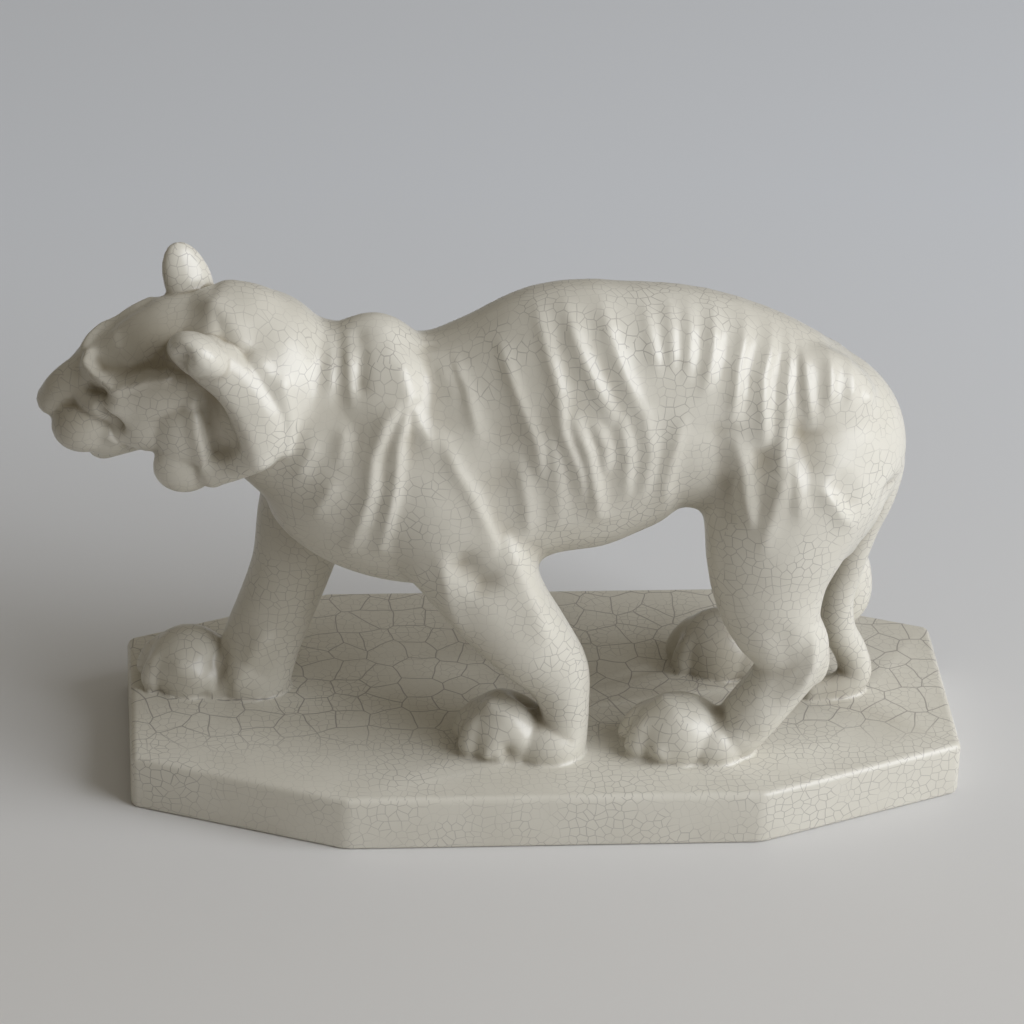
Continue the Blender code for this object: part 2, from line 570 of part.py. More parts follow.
def build_tiger():
    masses = build_masses()
    bm = bmesh.new()
    bm.from_mesh(masses.data)
    bpy.data.objects.remove(masses, do_unlink=True)
    lift = Matrix.Translation(on_tiger(0.0, 0.0, 0.0))
    limb(bm, TAIL, lift)
    build_feet(bm, lift)
    build_face(bm, head_axes())
    slab_top = BASE_HEIGHT - SLAB_BELOW_TOP
    prism(bm, base_outline(SLAB_INSET), slab_top - SLAB_DEPTH, slab_top)
    tiger = remesh(new_object("tiger", bm), FORM_VOXEL, FORM_SMOOTHING)
    carve_relief(tiger)
    soften(tiger, GLAZE_FLOW)
    tiger.data.calc_loop_triangles()
    thin = tiger.modifiers.new("fewer faces", 'DECIMATE')
    thin.ratio = min(1.0, FORM_TRIANGLES / len(tiger.data.loop_triangles))
    return apply_modifiers(tiger)


def glaze():
    material = bpy.data.materials.new("cream_crackle_glaze")
    material.use_nodes = True
    shader = material.node_tree.nodes["Principled BSDF"]
    shader.inputs["Base Color"].default_value = GLAZE_CREAM
    shader.inputs["Roughness"].default_value = GLAZE_ROUGHNESS
    shader.inputs["Metallic"].default_value = 0.0
    return material


def build_figurine():
    tiger = build_tiger()
    figurine = build_base()
    join = figurine.modifiers.new("tiger", 'BOOLEAN')
    join.operation = 'UNION'
    join.solver = 'EXACT'
    join.object = tiger
    apply_modifiers(figurine)
    bpy.data.objects.remove(tiger, do_unlink=True)
    figurine.name = "tiger_figurine"
    figurine.data.materials.clear()
    figurine.data.materials.append(glaze())
    figurine.data.shade_smooth()
    figurine.data.set_sharp_from_angle(angle=SHARP_ANGLE)


clear_scene()
build_figurine()
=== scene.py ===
# The looks of the walking tiger figurine: its glazed form, the crackle in its glaze and the studio round it.
# Metres, +Z up. The origin is the centre of the base's underside, the head is towards -X.
import math

import bmesh
import bpy
import numpy as np
from bpy.props import FloatProperty, FloatVectorProperty, IntProperty, PointerProperty
from mathutils import Matrix, Vector


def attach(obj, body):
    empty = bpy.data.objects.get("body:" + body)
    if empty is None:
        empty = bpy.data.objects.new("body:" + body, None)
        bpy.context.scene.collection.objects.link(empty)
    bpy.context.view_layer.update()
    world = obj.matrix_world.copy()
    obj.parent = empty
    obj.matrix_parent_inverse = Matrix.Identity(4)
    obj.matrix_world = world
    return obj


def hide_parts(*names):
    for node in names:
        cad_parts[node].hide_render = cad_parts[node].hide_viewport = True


bl_info = {
    "name": "Glazed Tiger Figurine",
    "version": (1, 0, 0),
    "blender": (4, 5, 0),
    "location": "3D View > Sidebar > Figurine",
    "description": "Builds a crackle-glazed walking tiger on its base, and a plain studio round it",
    "category": "Add Mesh",
}

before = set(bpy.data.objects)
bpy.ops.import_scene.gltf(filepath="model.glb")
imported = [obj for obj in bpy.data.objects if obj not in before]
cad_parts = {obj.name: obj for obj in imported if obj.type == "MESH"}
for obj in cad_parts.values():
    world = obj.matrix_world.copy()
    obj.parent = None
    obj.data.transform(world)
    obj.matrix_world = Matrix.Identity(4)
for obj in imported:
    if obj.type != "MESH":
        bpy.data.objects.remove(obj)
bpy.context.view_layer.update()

# How finely the limbs, the balls and the base's rounded edges are drawn
STATION_STEPS = 6
LIMB_SIDES = 24
LIMB_END = 0.98
BALL_STEPS = 4
EDGE_SEGMENTS = 6
FOOT_SEGMENTS = 3
SMOOTHING_SHARE = 0.5
SHARP_ANGLE = math.radians(50)
# A slab just under the base's top, so that the glaze rounds the feet into it
SLAB_BELOW_TOP = 0.0004
SLAB_DEPTH = 0.006
SLAB_INSET = 0.006
# How fast the flanks' relief fades in as the near and the far side turn outwards
NEAR_FADE = 1.6
FAR_FADE = 2.5
# A stripe's crest as a share of its width, and how steeply its ends sink, over a fifth of its length
CREST_WIDTH = 0.5
TAPER_SLOPE = 5.0

# Where the glaze pools and where shade is painted into the hollows: the rounds of smoothing that find the
# hollows, the depth of a full one, its share of the tint, then the height over the base's top at which this
# starts, and over which it comes in
HOLLOW_ROUNDS = 60
HOLLOW_DEPTH = 0.0016
HOLLOW_SHARE = 0.8
HOLLOW_START = 0.0005
HOLLOW_FADE = 0.002

# Waves per metre of the three unevennesses of the glaze: where its cracks wander, its patches and its ripple
WANDER_WAVES = 70.0
PATCH_WAVES = 26.0
RIPPLE_WAVES = 150.0
WANDER_REACH = 0.0040
CRACK_IRREGULARITY = 0.85
RIPPLE_HEIGHT = 0.0003
RIPPLE_STRENGTH = 0.3
# The range of a noise over which each of these comes in, and the least of it that is always there
STAIN_RANGE = (0.35, 0.65)
STAIN_LEAST = 0.45
FADE_RANGE = (0.36, 0.54)
FADE_LEAST = 0.25
TONE_RANGE = (0.3, 0.7)
TONE_MOST = 0.16
# The most that the pooled glaze and painted shade of the hollows tint the cream
POOL_AND_SHADE_MOST = 0.85
# The long cracks: the heights from the base's top where they start and end, and the band behind the near feet
# over which they come in
LONG_CRACKS_OVER = (-0.0015, -0.0005)
LONG_CRACKS_UNDER = (0.004, 0.001)
LONG_CRACKS_BEHIND = (-0.050, -0.025)
GLAZE_IOR = 1.5

# The studio: the paper, the large lamp and the soft one overhead
PAPER_HALF_SIZE = 6.0
PAPER_ROUGHNESS = 0.8
PAPER_CLOUD_WAVES = 6.0
PAPER_CLOUD_SHARE = 0.08
# Where, from front to back, the paper changes to its painted light
PAPER_CHANGE = (-0.10, 0.55)
KEY_SIZE = 2.6
KEY_DISTANCE = 3.2
KEY_DIRECTION = (0.80, -0.40, 0.52)
CEILING_SIZE = 2.5
CEILING_SPOT = (0.3, 0.2, 1.7)
SENSOR_WIDTH = 36.0
# Where the middle of the base's underside lies in the picture, and the middle of the picture, in pixels
PICTURE_WIDTH = 1024.0
BASE_IN_PICTURE = (537.84, 738.16)

# Stations of the limbs and the trunk: x, y from the tiger's middle, height over the base's top,
# then the half thickness seen from the side and the half thickness seen from the front
TRUNK = (
    (-0.128, 0.000, 0.154, 0.031, 0.026),
    (-0.112, 0.000, 0.150, 0.036, 0.030),
    (-0.095, 0.000, 0.142, 0.041, 0.033),
    (-0.078, 0.000, 0.131, 0.051, 0.037),
    (-0.058, 0.000, 0.123, 0.054, 0.039),
    (-0.038, 0.000, 0.123, 0.054, 0.039),
    (-0.018, 0.000, 0.132, 0.054, 0.040),
    (0.004, 0.000, 0.140, 0.058, 0.040),
    (0.026, 0.000, 0.1455, 0.0545, 0.039),
    (0.048, 0.000, 0.149, 0.047, 0.037),
    (0.070, 0.000, 0.1435, 0.0445, 0.036),
    (0.088, 0.000, 0.135, 0.043, 0.035),
)
NEAR_FORELEG = (
    (-0.074, -0.011, 0.157, 0.026, 0.018),
    (-0.052, -0.019, 0.126, 0.031, 0.021),
    (-0.038, -0.024, 0.098, 0.027, 0.019),
    (-0.024, -0.027, 0.072, 0.021, 0.016),
    (-0.010, -0.028, 0.053, 0.018, 0.015),
    (0.001, -0.027, 0.038, 0.0145, 0.013),
    (0.005, -0.026, 0.022, 0.0110, 0.012),
    (0.004, -0.025, 0.004, 0.0120, 0.013),
)
FAR_FORELEG = (
    (-0.078, 0.014, 0.150, 0.026, 0.018),
    (-0.090, 0.020, 0.115, 0.024, 0.018),
    (-0.098, 0.023, 0.085, 0.020, 0.017),
    (-0.103, 0.025, 0.060, 0.017, 0.015),
    (-0.109, 0.026, 0.040, 0.0165, 0.014),
    (-0.115, 0.027, 0.022, 0.0165, 0.014),
    (-0.119, 0.028, 0.004, 0.0165, 0.015),
)
NEAR_HIND_LEG = (
    (0.096, -0.012, 0.145, 0.033, 0.020),
    (0.094, -0.019, 0.122, 0.036, 0.024),
    (0.088, -0.025, 0.098, 0.030, 0.022),
    (0.086, -0.028, 0.078, 0.024, 0.018),
    (0.090, -0.030, 0.060, 0.019, 0.015),
    (0.098, -0.030, 0.047, 0.0145, 0.012),
    (0.091, -0.029, 0.031, 0.0125, 0.012),
    (0.0765, -0.0285, 0.010, 0.0120, 0.013),
)
FAR_HIND_LEG = (
    (0.097, 0.012, 0.139, 0.032, 0.020),
    (0.102, 0.020, 0.115, 0.032, 0.022),
    (0.104, 0.027, 0.088, 0.025, 0.018),
    (0.114, 0.032, 0.062, 0.018, 0.015),
    (0.124, 0.034, 0.044, 0.015, 0.012),
    (0.125, 0.035, 0.032, 0.012, 0.011),
    (0.106, 0.037, 0.019, 0.012, 0.012),
    (0.088, 0.038, 0.010, 0.012, 0.013),
)
TAIL = (
    (0.120, 0.002, 0.140, 0.012, 0.012),
    (0.133, 0.005, 0.121, 0.0095, 0.010),
    (0.133, 0.008, 0.101, 0.0085, 0.0085),
    (0.128, 0.011, 0.081, 0.0075, 0.0075),
    (0.124, 0.013, 0.062, 0.007, 0.007),
    (0.121, 0.014, 0.046, 0.007, 0.007),
    (0.123, 0.016, 0.030, 0.007, 0.007),
    (0.129, 0.018, 0.017, 0.007, 0.007),
    (0.131, 0.017, 0.007, 0.007, 0.007),
    (0.124, 0.014, 0.003, 0.006, 0.006),
    (0.113, 0.012, 0.002, 0.005, 0.005),
)

# Rounded masses: x, y from the middle, height over the base's top, then three half sizes
MASSES = (
    (-0.118, 0.000, 0.157, 0.032, 0.036, 0.038),
    (-0.136, -0.002, 0.171, 0.024, 0.027, 0.024),
    (-0.127, 0.000, 0.176, 0.027, 0.024, 0.0235),
    (-0.0740, -0.001, 0.151, 0.027, 0.023, 0.036),
    (-0.094, 0.000, 0.117, 0.022, 0.024, 0.026),
    (-0.070, -0.014, 0.142, 0.026, 0.021, 0.038),
    (-0.072, 0.014, 0.138, 0.026, 0.021, 0.036),
    (0.098, -0.014, 0.120, 0.037, 0.0235, 0.044),
    (0.102, 0.014, 0.114, 0.030, 0.024, 0.038),
    (0.099, 0.000, 0.126, 0.043, 0.034, 0.044),
)

# The head in its own axes: forward, towards the far side, up, then three half sizes
SKULL = (
    (-0.006, 0.000, 0.002, 0.032, 0.027, 0.024),
    (0.014, 0.000, 0.006, 0.022, 0.022, 0.016),
    (0.004, 0.000, -0.014, 0.024, 0.022, 0.018),
)
# On each side of the head: the cheek bone, and the jowls under it
CHEEK_BONE = (0.004, 0.015, -0.010, 0.020, 0.013, 0.016)
JOWLS = (
    (-0.006, 0.024, -0.018, 0.016, 0.011, 0.020),
    (0.002, 0.028, -0.028, 0.013, 0.008, 0.014),
)
# The ruff's lower hem, which stands off the throat, from the front lobe back along the neck
NEAR_RUFF = (
    (-0.007, -0.030, -0.031, 0.0085, 0.008),
    (-0.018, -0.035, -0.026, 0.0085, 0.0085),
    (-0.030, -0.038, -0.019, 0.0095, 0.009),
    (-0.034, -0.036, -0.008, 0.0105, 0.009),
    (-0.032, -0.029, 0.004, 0.0100, 0.009),
    (-0.027, -0.024, 0.014, 0.0100, 0.009),
    (-0.023, -0.022, 0.021, 0.0090, 0.009),
)
NEAR_NECK_LOCK = (
    (-0.040, -0.023, 0.006, 0.0085, 0.008),
    (-0.042, -0.028, -0.003, 0.0100, 0.009),
    (-0.041, -0.032, -0.013, 0.0095, 0.009),
)
FAR_RUFF = (
    (-0.006, 0.026, -0.032, 0.008, 0.008),
    (-0.018, 0.028, -0.030, 0.009, 0.009),
    (-0.030, 0.026, -0.026, 0.009, 0.009),
)
# On each side of the head
MUZZLE = (
    (0.034, 0.008, -0.008, 0.014, 0.011, 0.013),
    (0.026, 0.009, -0.014, 0.014, 0.010, 0.012),
)
NOSE_BRIDGE = (
    (0.008, 0.000, 0.010, 0.014, 0.016),
    (0.024, 0.000, 0.0085, 0.011, 0.011),
    (0.036, 0.000, 0.0065, 0.0085, 0.008),
    (0.044, 0.000, 0.0025, 0.006, 0.007),
)
JAW = (
    (0.000, 0.000, -0.018, 0.016, 0.020),
    (0.018, 0.000, -0.024, 0.011, 0.014),
    (0.033, 0.000, -0.028, 0.008, 0.010),
)
# Each ear: forward, towards the far side, up, then how far it leans to the far side and turns, in degrees,
# then three half sizes
EARS = (
    (-0.0215, -0.0245, 0.0265, -32.0, -45.0, 0.0085, 0.0125, 0.0145),
    (-0.0215, 0.0240, 0.0157, 30.0, 62.0, 0.0055, 0.0100, 0.0175),
)
# The rim in front of the near ear's hollow
EAR_RIM = (-0.013, -0.015, 0.021, 0.005, 0.005, 0.006)

# Carved relief on both flanks: height, half width, then points of x and height over the base's top
FLANK_RELIEF = (
    (0.0020, 0.0062, (-0.072, 0.186), (-0.064, 0.177), (-0.061, 0.165), (-0.065, 0.158)),
    (0.0024, 0.0043, (-0.061, 0.167), (-0.070, 0.157), (-0.075, 0.142), (-0.076, 0.127), (-0.083, 0.099)),
    (0.0022, 0.0037, (-0.061, 0.165), (-0.065, 0.148), (-0.066, 0.132), (-0.071, 0.101)),
    (0.0020, 0.0073, (-0.059, 0.180), (-0.051, 0.176), (-0.044, 0.167)),
    (0.0015, 0.0043, (-0.060, 0.164), (-0.057, 0.155), (-0.052, 0.146)),
    (-0.0028, 0.0134, (-0.024, 0.152), (-0.023, 0.135)),
    (0.0013, 0.0037, (-0.044, 0.177), (-0.038, 0.167), (-0.034, 0.152)),
    (0.0016, 0.0037, (-0.024, 0.182), (-0.019, 0.168), (-0.011, 0.149), (-0.009, 0.138)),
    (0.0020, 0.0040, (-0.010, 0.194), (-0.003, 0.171), (-0.001, 0.155), (0.006, 0.138), (0.009, 0.125)),
    (0.0020, 0.0043, (0.001, 0.196), (0.005, 0.185), (0.010, 0.175), (0.018, 0.161)),
    (0.0018, 0.0043, (0.015, 0.198), (0.018, 0.187), (0.023, 0.175), (0.031, 0.160)),
    (0.0015, 0.0043, (-0.018, 0.140), (-0.014, 0.122), (-0.013, 0.108)),
    (0.0010, 0.0043, (-0.005, 0.151), (-0.002, 0.132), (-0.001, 0.112)),
    (0.0024, 0.0043, (0.004, 0.158), (0.009, 0.146), (0.012, 0.132), (0.015, 0.115)),
    (0.0015, 0.0037, (0.012, 0.157), (0.016, 0.148), (0.016, 0.138)),
    (0.0015, 0.0037, (0.022, 0.158), (0.025, 0.143), (0.025, 0.126)),
    (0.0013, 0.0037, (0.032, 0.197), (0.034, 0.186), (0.036, 0.178)),
    (0.0013, 0.0037, (0.042, 0.197), (0.042, 0.178)),
    (0.0013, 0.0037, (0.050, 0.196), (0.048, 0.176)),
    (0.0018, 0.0037, (0.060, 0.195), (0.058, 0.182), (0.055, 0.171)),
    (0.0020, 0.0037, (0.073, 0.191), (0.068, 0.176), (0.066, 0.158)),
    (0.0022, 0.0039, (0.084, 0.186), (0.078, 0.172), (0.078, 0.162), (0.079, 0.148)),
    (0.0018, 0.0034, (0.091, 0.183), (0.088, 0.168), (0.087, 0.152), (0.086, 0.136)),
    (0.0016, 0.0031, (0.095, 0.180), (0.096, 0.166), (0.098, 0.153)),
    (0.0016, 0.0031, (0.106, 0.177), (0.105, 0.160)),
    (0.0014, 0.0031, (0.115, 0.173), (0.114, 0.160)),
    (0.0014, 0.0031, (0.124, 0.168), (0.123, 0.156)),
    (0.0014, 0.0043, (0.022, 0.173), (0.031, 0.161), (0.034, 0.146)),
    (0.0014, 0.0043, (0.032, 0.157), (0.034, 0.144), (0.032, 0.125)),
    (0.0016, 0.0043, (0.046, 0.157), (0.043, 0.143), (0.041, 0.130), (0.042, 0.114)),
    (0.0018, 0.0043, (0.067, 0.149), (0.071, 0.136), (0.072, 0.126), (0.075, 0.115)),
    (-0.0020, 0.0073, (0.062, 0.150), (0.063, 0.136), (0.064, 0.115)),
    (-0.0012, 0.0055, (0.079, 0.141), (0.080, 0.120)),
    (0.0018, 0.0049, (0.088, 0.134), (0.084, 0.124), (0.080, 0.106)),
    (0.0013, 0.0037, (0.092, 0.136), (0.094, 0.119)),
    (0.0020, 0.0043, (0.103, 0.128), (0.109, 0.120), (0.115, 0.111)),
    (-0.0016, 0.0061, (0.095, 0.149), (0.098, 0.138)),
    (-0.0014, 0.0049, (0.111, 0.128), (0.115, 0.122)),
    (0.0016, 0.0037, (-0.090, 0.182), (-0.092, 0.166)),
    (0.0014, 0.0031, (-0.084, 0.182), (-0.083, 0.162)),
    (-0.0014, 0.0031, (-0.079, 0.182), (-0.080, 0.170)),
    (0.0016, 0.0043, (-0.098, 0.148), (-0.104, 0.131)),
    (0.0016, 0.0043, (-0.090, 0.131), (-0.097, 0.115)),
    (0.0013, 0.0037, (-0.086, 0.153), (-0.088, 0.140)),
)
# The same for the near legs, on the near side only
NEAR_LEG_RELIEF = (
    (0.0022, 0.0051, (-0.047, 0.148), (-0.042, 0.137), (-0.036, 0.127), (-0.026, 0.104)),
    (0.0028, 0.0061, (-0.021, 0.104), (-0.017, 0.092), (-0.012, 0.080), (-0.005, 0.064)),
    (-0.0034, 0.0070, (-0.0375, 0.096), (-0.0310, 0.089)),
    (0.0014, 0.0043, (-0.047, 0.099), (-0.044, 0.080), (-0.038, 0.062)),
    (-0.0013, 0.0060, (0.090, 0.062), (0.094, 0.047), (0.089, 0.032)),
    (0.0018, 0.0034, (0.103, 0.062), (0.1035, 0.046), (0.099, 0.036)),
    (-0.0030, 0.0036, (0.1335, 0.117), (0.1290, 0.101), (0.1255, 0.090)),
)
# Relief on the feet: height, half width, then points of x and y from the tiger's middle and height over
# the base's top
FOOT_RELIEF = (
    # The near forepaw's knuckle ridge, the thin toe in front of it, the cleft between them, and the dip
    # before the wrist
    (0.0024, 0.0034, (-0.0248, -0.0270, 0.022), (-0.0188, -0.0307, 0.018), (-0.0128, -0.0342, 0.011)),
    (0.0016, 0.0020, (-0.0222, -0.0335, 0.013), (-0.0265, -0.0363, 0.004)),
    (-0.0028, 0.0032, (-0.0192, -0.0352, 0.010), (-0.0171, -0.0403, 0.004)),
    (-0.0050, 0.0060, (-0.0100, -0.0190, 0.022), (-0.0060, -0.0240, 0.016)),
    # The near hind paw's ridge and toe, and the dip in front of the long bone of the foot
    (0.0016, 0.0040, (0.0463, -0.0252, 0.022), (0.0501, -0.0327, 0.019), (0.0542, -0.0369, 0.011)),
    (0.0016, 0.0030, (0.0430, -0.0400, 0.007), (0.0445, -0.0400, 0.005)),
    (-0.0022, 0.0050, (0.0640, -0.0240, 0.021), (0.0720, -0.0330, 0.017), (0.0790, -0.0370, 0.013)),
    # The far foreleg's ridge down to its heel, the furrow before the paw, and the paw's knuckles
    (0.0024, 0.0045, (-0.1157, 0.0128, 0.030), (-0.1227, 0.0090, 0.018), (-0.1290, 0.0084, 0.006)),
    (-0.0034, 0.0036, (-0.1335, 0.0200, 0.024), (-0.1330, 0.0150, 0.014), (-0.1337, 0.0110, 0.004)),
    (0.0020, 0.0045, (-0.1491, 0.0145, 0.016), (-0.1400, 0.0110, 0.010)),
)
# Relief on each side of the head, in the head's own axes
HEAD_RELIEF = (
    # The lid's edge, down to the eye's inner corner and back along the lower lid
    (0.0030, 0.0022, (0.022, 0.001, 0.022), (0.024, 0.004, 0.020), (0.021, 0.011, 0.018),
     (0.016, 0.018, 0.015), (0.009, 0.018, 0.015), (0.001, 0.020, 0.017), (-0.005, 0.021, 0.016)),
    # The socket above it
    (-0.0034, 0.0055, (0.018, 0.009, 0.023), (0.009, 0.014, 0.022), (-0.002, 0.016, 0.022)),
    # The pit between the eye's corner and the nose
    (-0.0070, 0.0045, (0.027, 0.013, 0.014), (0.023, 0.016, 0.013)),
    # The crease behind the whisker pad, and the corner of the mouth
    (-0.0038, 0.0024, (0.025, 0.017, 0.010), (0.023, 0.019, 0.003), (0.021, 0.021, -0.003)),
    (0.0028, 0.0030, (0.026, 0.018, -0.008), (0.024, 0.020, -0.011)),
    # The crest from ear to ear down the side of the neck
    (0.0022, 0.0050, (-0.027, 0.012, 0.020), (-0.031, 0.001, 0.022), (-0.035, 0.009, 0.020),
     (-0.037, 0.016, 0.017)),
    # The front lock of the ruff, the furrow behind it, the broad lock from the ear down, and the last lock
    (0.0034, 0.0030, (-0.012, 0.027, 0.004), (-0.009, 0.032, -0.006), (-0.007, 0.035, -0.020),
     (-0.007, 0.034, -0.033)),
    (-0.0025, 0.0056, (-0.017, 0.030, 0.004), (-0.017, 0.037, -0.010), (-0.015, 0.040, -0.023)),
    (0.0020, 0.0045, (-0.021, 0.014, 0.023), (-0.024, 0.025, 0.016), (-0.027, 0.036, 0.006),
     (-0.029, 0.043, -0.006), (-0.028, 0.045, -0.020)),
    (0.0020, 0.0035, (-0.047, 0.031, 0.002), (-0.044, 0.038, -0.011), (-0.039, 0.042, -0.022)),
)
# The near ear's hollow, in the head's own axes
EAR_HOLLOW = (-0.0040, 0.0036, (-0.017, -0.034, 0.038), (-0.015, -0.028, 0.028))

# Paws: x and y of the middle of the foot, then scales for its length and its height
PAWS = (
    (-0.0175, -0.0225, 1.00, 1.02),
    (-0.1450, 0.0310, 1.00, 1.02),
    (0.0530, -0.0260, 1.14, 0.98),
    (0.0770, 0.0380, 1.04, 1.04),
)
# One paw round its middle: forward, near side, height, then three half sizes
PAW_MASSES = (
    (0.000, 0.000, 0.008, 0.0175, 0.0168, 0.0160),
    (-0.012, 0.002, 0.006, 0.0130, 0.0150, 0.0120),
)
# Its toes from the knuckle to the tip: forward, near side, height, then two half thicknesses
TOES = (
    ((0.002, -0.0105, 0.0140, 0.0046, 0.0046), (0.010, -0.0120, 0.0095, 0.0052, 0.0052),
     (0.013, -0.0125, 0.0045, 0.0052, 0.0052)),
    ((0.004, -0.0038, 0.0172, 0.0046, 0.0046), (0.0130, -0.0043, 0.0120, 0.0052, 0.0052),
     (0.0165, -0.0045, 0.0050, 0.0054, 0.0054)),
    ((0.004, 0.0038, 0.0172, 0.0046, 0.0046), (0.0120, 0.0052, 0.0120, 0.0052, 0.0052),
     (0.0150, 0.0060, 0.0050, 0.0054, 0.0054)),
)
# Smaller rounded forms of the legs: the near forepaw's heel, the near hock, the far heel and the far hock
LEG_KNOBS = (
    (-0.001, -0.0280, 0.006, 0.0150, 0.0130, 0.0120),
    (0.1065, -0.0290, 0.043, 0.0060, 0.0060, 0.0120),
    (-0.121, 0.0240, 0.008, 0.0150, 0.0120, 0.0150),
    (0.1290, 0.0350, 0.040, 0.0075, 0.0070, 0.0080),
)

# Painted shade where the form lies in shadow, and pooled glaze on the face: x, y from the tiger's middle,
# height, reach and amount
SHADE_AND_POOL_SPOTS = (
    (-0.160, -0.016, 0.180, 0.017, 0.60),
    (-0.148, -0.022, 0.175, 0.014, 0.35),
    (-0.190, -0.014, 0.160, 0.014, 0.50),
    (-0.196, -0.010, 0.146, 0.012, 0.35),
    (-0.120, -0.010, 0.120, 0.016, 0.40),
    (-0.104, 0.012, 0.085, 0.018, 0.45),
    (0.073, 0.026, 0.008, 0.018, 0.60),
    (0.120, 0.014, 0.004, 0.012, 0.60),
)


def from_hex(code):
    """A linear colour from its sRGB hex code."""
    shares = [int(code[i:i + 2], 16) / 255 for i in (0, 2, 4)]
    return tuple(c / 12.92 if c <= 0.04045 else ((c + 0.055) / 1.055) ** 2.4 for c in shares)


def length_prop(name, default, description):
    return FloatProperty(name=name, description=description, default=default, min=0.0, precision=5,
                         subtype='DISTANCE', unit='LENGTH')


def angle_prop(name, degrees, description):
    return FloatProperty(name=name, description=description, default=math.radians(degrees),
                         subtype='ANGLE', unit='ROTATION')


def colour_prop(name, code, description):
    return FloatVectorProperty(name=name, description=description, default=from_hex(code), size=3,
                               min=0.0, max=1.0, subtype='COLOR')


class FigurineSizes(bpy.types.PropertyGroup):
    """Sizes of the base and of the tiger on it"""
    base_length: length_prop("Base length", 0.340, "Length of the eight-sided base")
    base_width: length_prop("Base width", 0.163, "Width of the base, from its front to its back")
    base_side_straight: length_prop("Side straight", 0.169, "Straight part of each long side")
    base_end_straight: length_prop("End straight", 0.094, "Straight part of each end")
    base_height: length_prop("Base height", 0.0237, "Thickness of the base")
    edge_round: length_prop("Edge round", 0.0030, "Rounding of the base's upper edges and corners")
    foot_round: length_prop("Foot round", 0.0015, "Rounding of the base's lower edge")
    tiger_forward: length_prop("Tiger towards the front", 0.019,
                               "How far the tiger stands in front of the base's middle")
    head_ahead: length_prop("Head ahead", 0.158, "How far the head's middle is ahead of the base's middle")
    head_height: length_prop("Head height", 0.164, "Height of the head's middle over the base's top")
    head_pitch: angle_prop("Head pitch", 20.0, "How far the nose is dipped")
    head_roll: angle_prop("Head roll", 20.0, "How far the crown leans to the near side")
    top_relief: FloatProperty(name="Relief on the back", default=0.12, min=0.0, max=1.0, subtype='FACTOR',
                              description="Share of the flanks' relief that is left along the top of the back")
    far_relief: FloatProperty(name="Relief on the far cheek", default=0.4, min=0.0, max=1.0, subtype='FACTOR',
                              description="Share of the face's relief that the head's far side has")
    taper: FloatProperty(name="Taper", default=0.5, min=0.0, max=1.0, subtype='FACTOR',
                         description="How far each stripe sinks at its ends")
    crest: FloatProperty(name="Crest", default=0.3, min=0.0, max=1.0, subtype='FACTOR',
                         description="Share of each stripe's height that stands in a narrow crest")
    mass_voxel: length_prop("Mass voxel", 0.0024, "Voxel at which the body's masses are run together")
    mass_smoothing: IntProperty(name="Mass smoothing", description="Smoothing steps of the masses", default=8,
                                min=0)
    form_voxel: length_prop("Form voxel", 0.0010, "Voxel of the finished form")
    form_smoothing: IntProperty(name="Form smoothing", description="Smoothing steps of the form", default=7,
                                min=0)
    glaze_flow: IntProperty(name="Glaze flow", description="Smoothing steps over the relief", default=3, min=0)
    triangles: IntProperty(name="Triangles", description="Triangles left in the tiger", default=180000,
                           min=1000)


class GlazeLook(bpy.types.PropertyGroup):
    """Colours of the glaze and the sizes of its crackle"""
    cream: colour_prop("Cream", "D9D5C9", "The glaze where it lies thick and clean")
    # The colour of the hollows stands partly for pooled glaze and partly for painted shade
    pooled_glaze_and_shade: colour_prop("Hollow", "8F846D", "The glaze where it has pooled and gathered dirt")
    crack: colour_prop("Crack", "6A6160", "The stain in the crackle")
    roughness: FloatProperty(name="Roughness", description="Roughness of the glaze", default=0.31,
                             min=0.0, max=1.0)
    fine_cell: length_prop("Fine crackle", 0.0038, "Width of the small pieces between cracks")
    fine_line: length_prop("Fine crack", 0.00027, "Half width of a fine crack's stain")
    fine_stain: FloatProperty(name="Fine stain", description="How strongly the fine cracks are stained",
                              default=0.52, min=0.0, max=1.0, subtype='FACTOR')
    coarse_cell: length_prop("Coarse crackle", 0.0135, "Width of the pieces between the long cracks")
    coarse_line: length_prop("Long crack", 0.00043, "Half width of a long crack's stain")
    coarse_stain: FloatProperty(name="Long stain", description="How strongly the long cracks are stained",
                                default=0.68, min=0.0, max=1.0, subtype='FACTOR')


class StudioLook(bpy.types.PropertyGroup):
    """The camera's place, the lights and the floor"""
    azimuth: angle_prop("Azimuth", -5.48, "The camera's direction round the figurine")
    elevation: angle_prop("Elevation", 30.0, "The camera's angle over the floor")
    roll: angle_prop("Roll", 2.06, "The camera's roll")
    distance: length_prop("Distance", 2.191, "From the base to the camera, along the line of sight")
    lens: FloatProperty(name="Lens", description="Focal length in millimetres on a 36 mm frame", default=184.6,
                        min=1.0)
    floor: colour_prop("Floor", "D6D4D1", "The paper in front of the figurine")
    # Painted light: the paper behind is given a lighter, cooler colour than the paper in front
    far_floor_painted_light: colour_prop("Floor behind", "DCDFE4", "The paper behind the figurine")
    key_colour: colour_prop("Key colour", "F4F8FF", "The cool light of a large window")
    key_power: FloatProperty(name="Key light", description="Power of the large lamp", default=114.0, min=0.0,
                             unit='POWER')
    ceiling_power: FloatProperty(name="Ceiling light", description="Power of the soft light from above",
                                 default=4.5, min=0.0, unit='POWER')
    sky_colour: colour_prop("Sky colour", "EADFC8", "The warm light that a room throws back from all round")
    sky: FloatProperty(name="Sky", description="Strength of the light from all round", default=0.19, min=0.0)


def on_tiger(sizes, x, y, z):
    """A place given from the tiger's middle and the base's top, in the object's frame."""
    return Vector((x, y - sizes.tiger_forward, z + sizes.base_height))


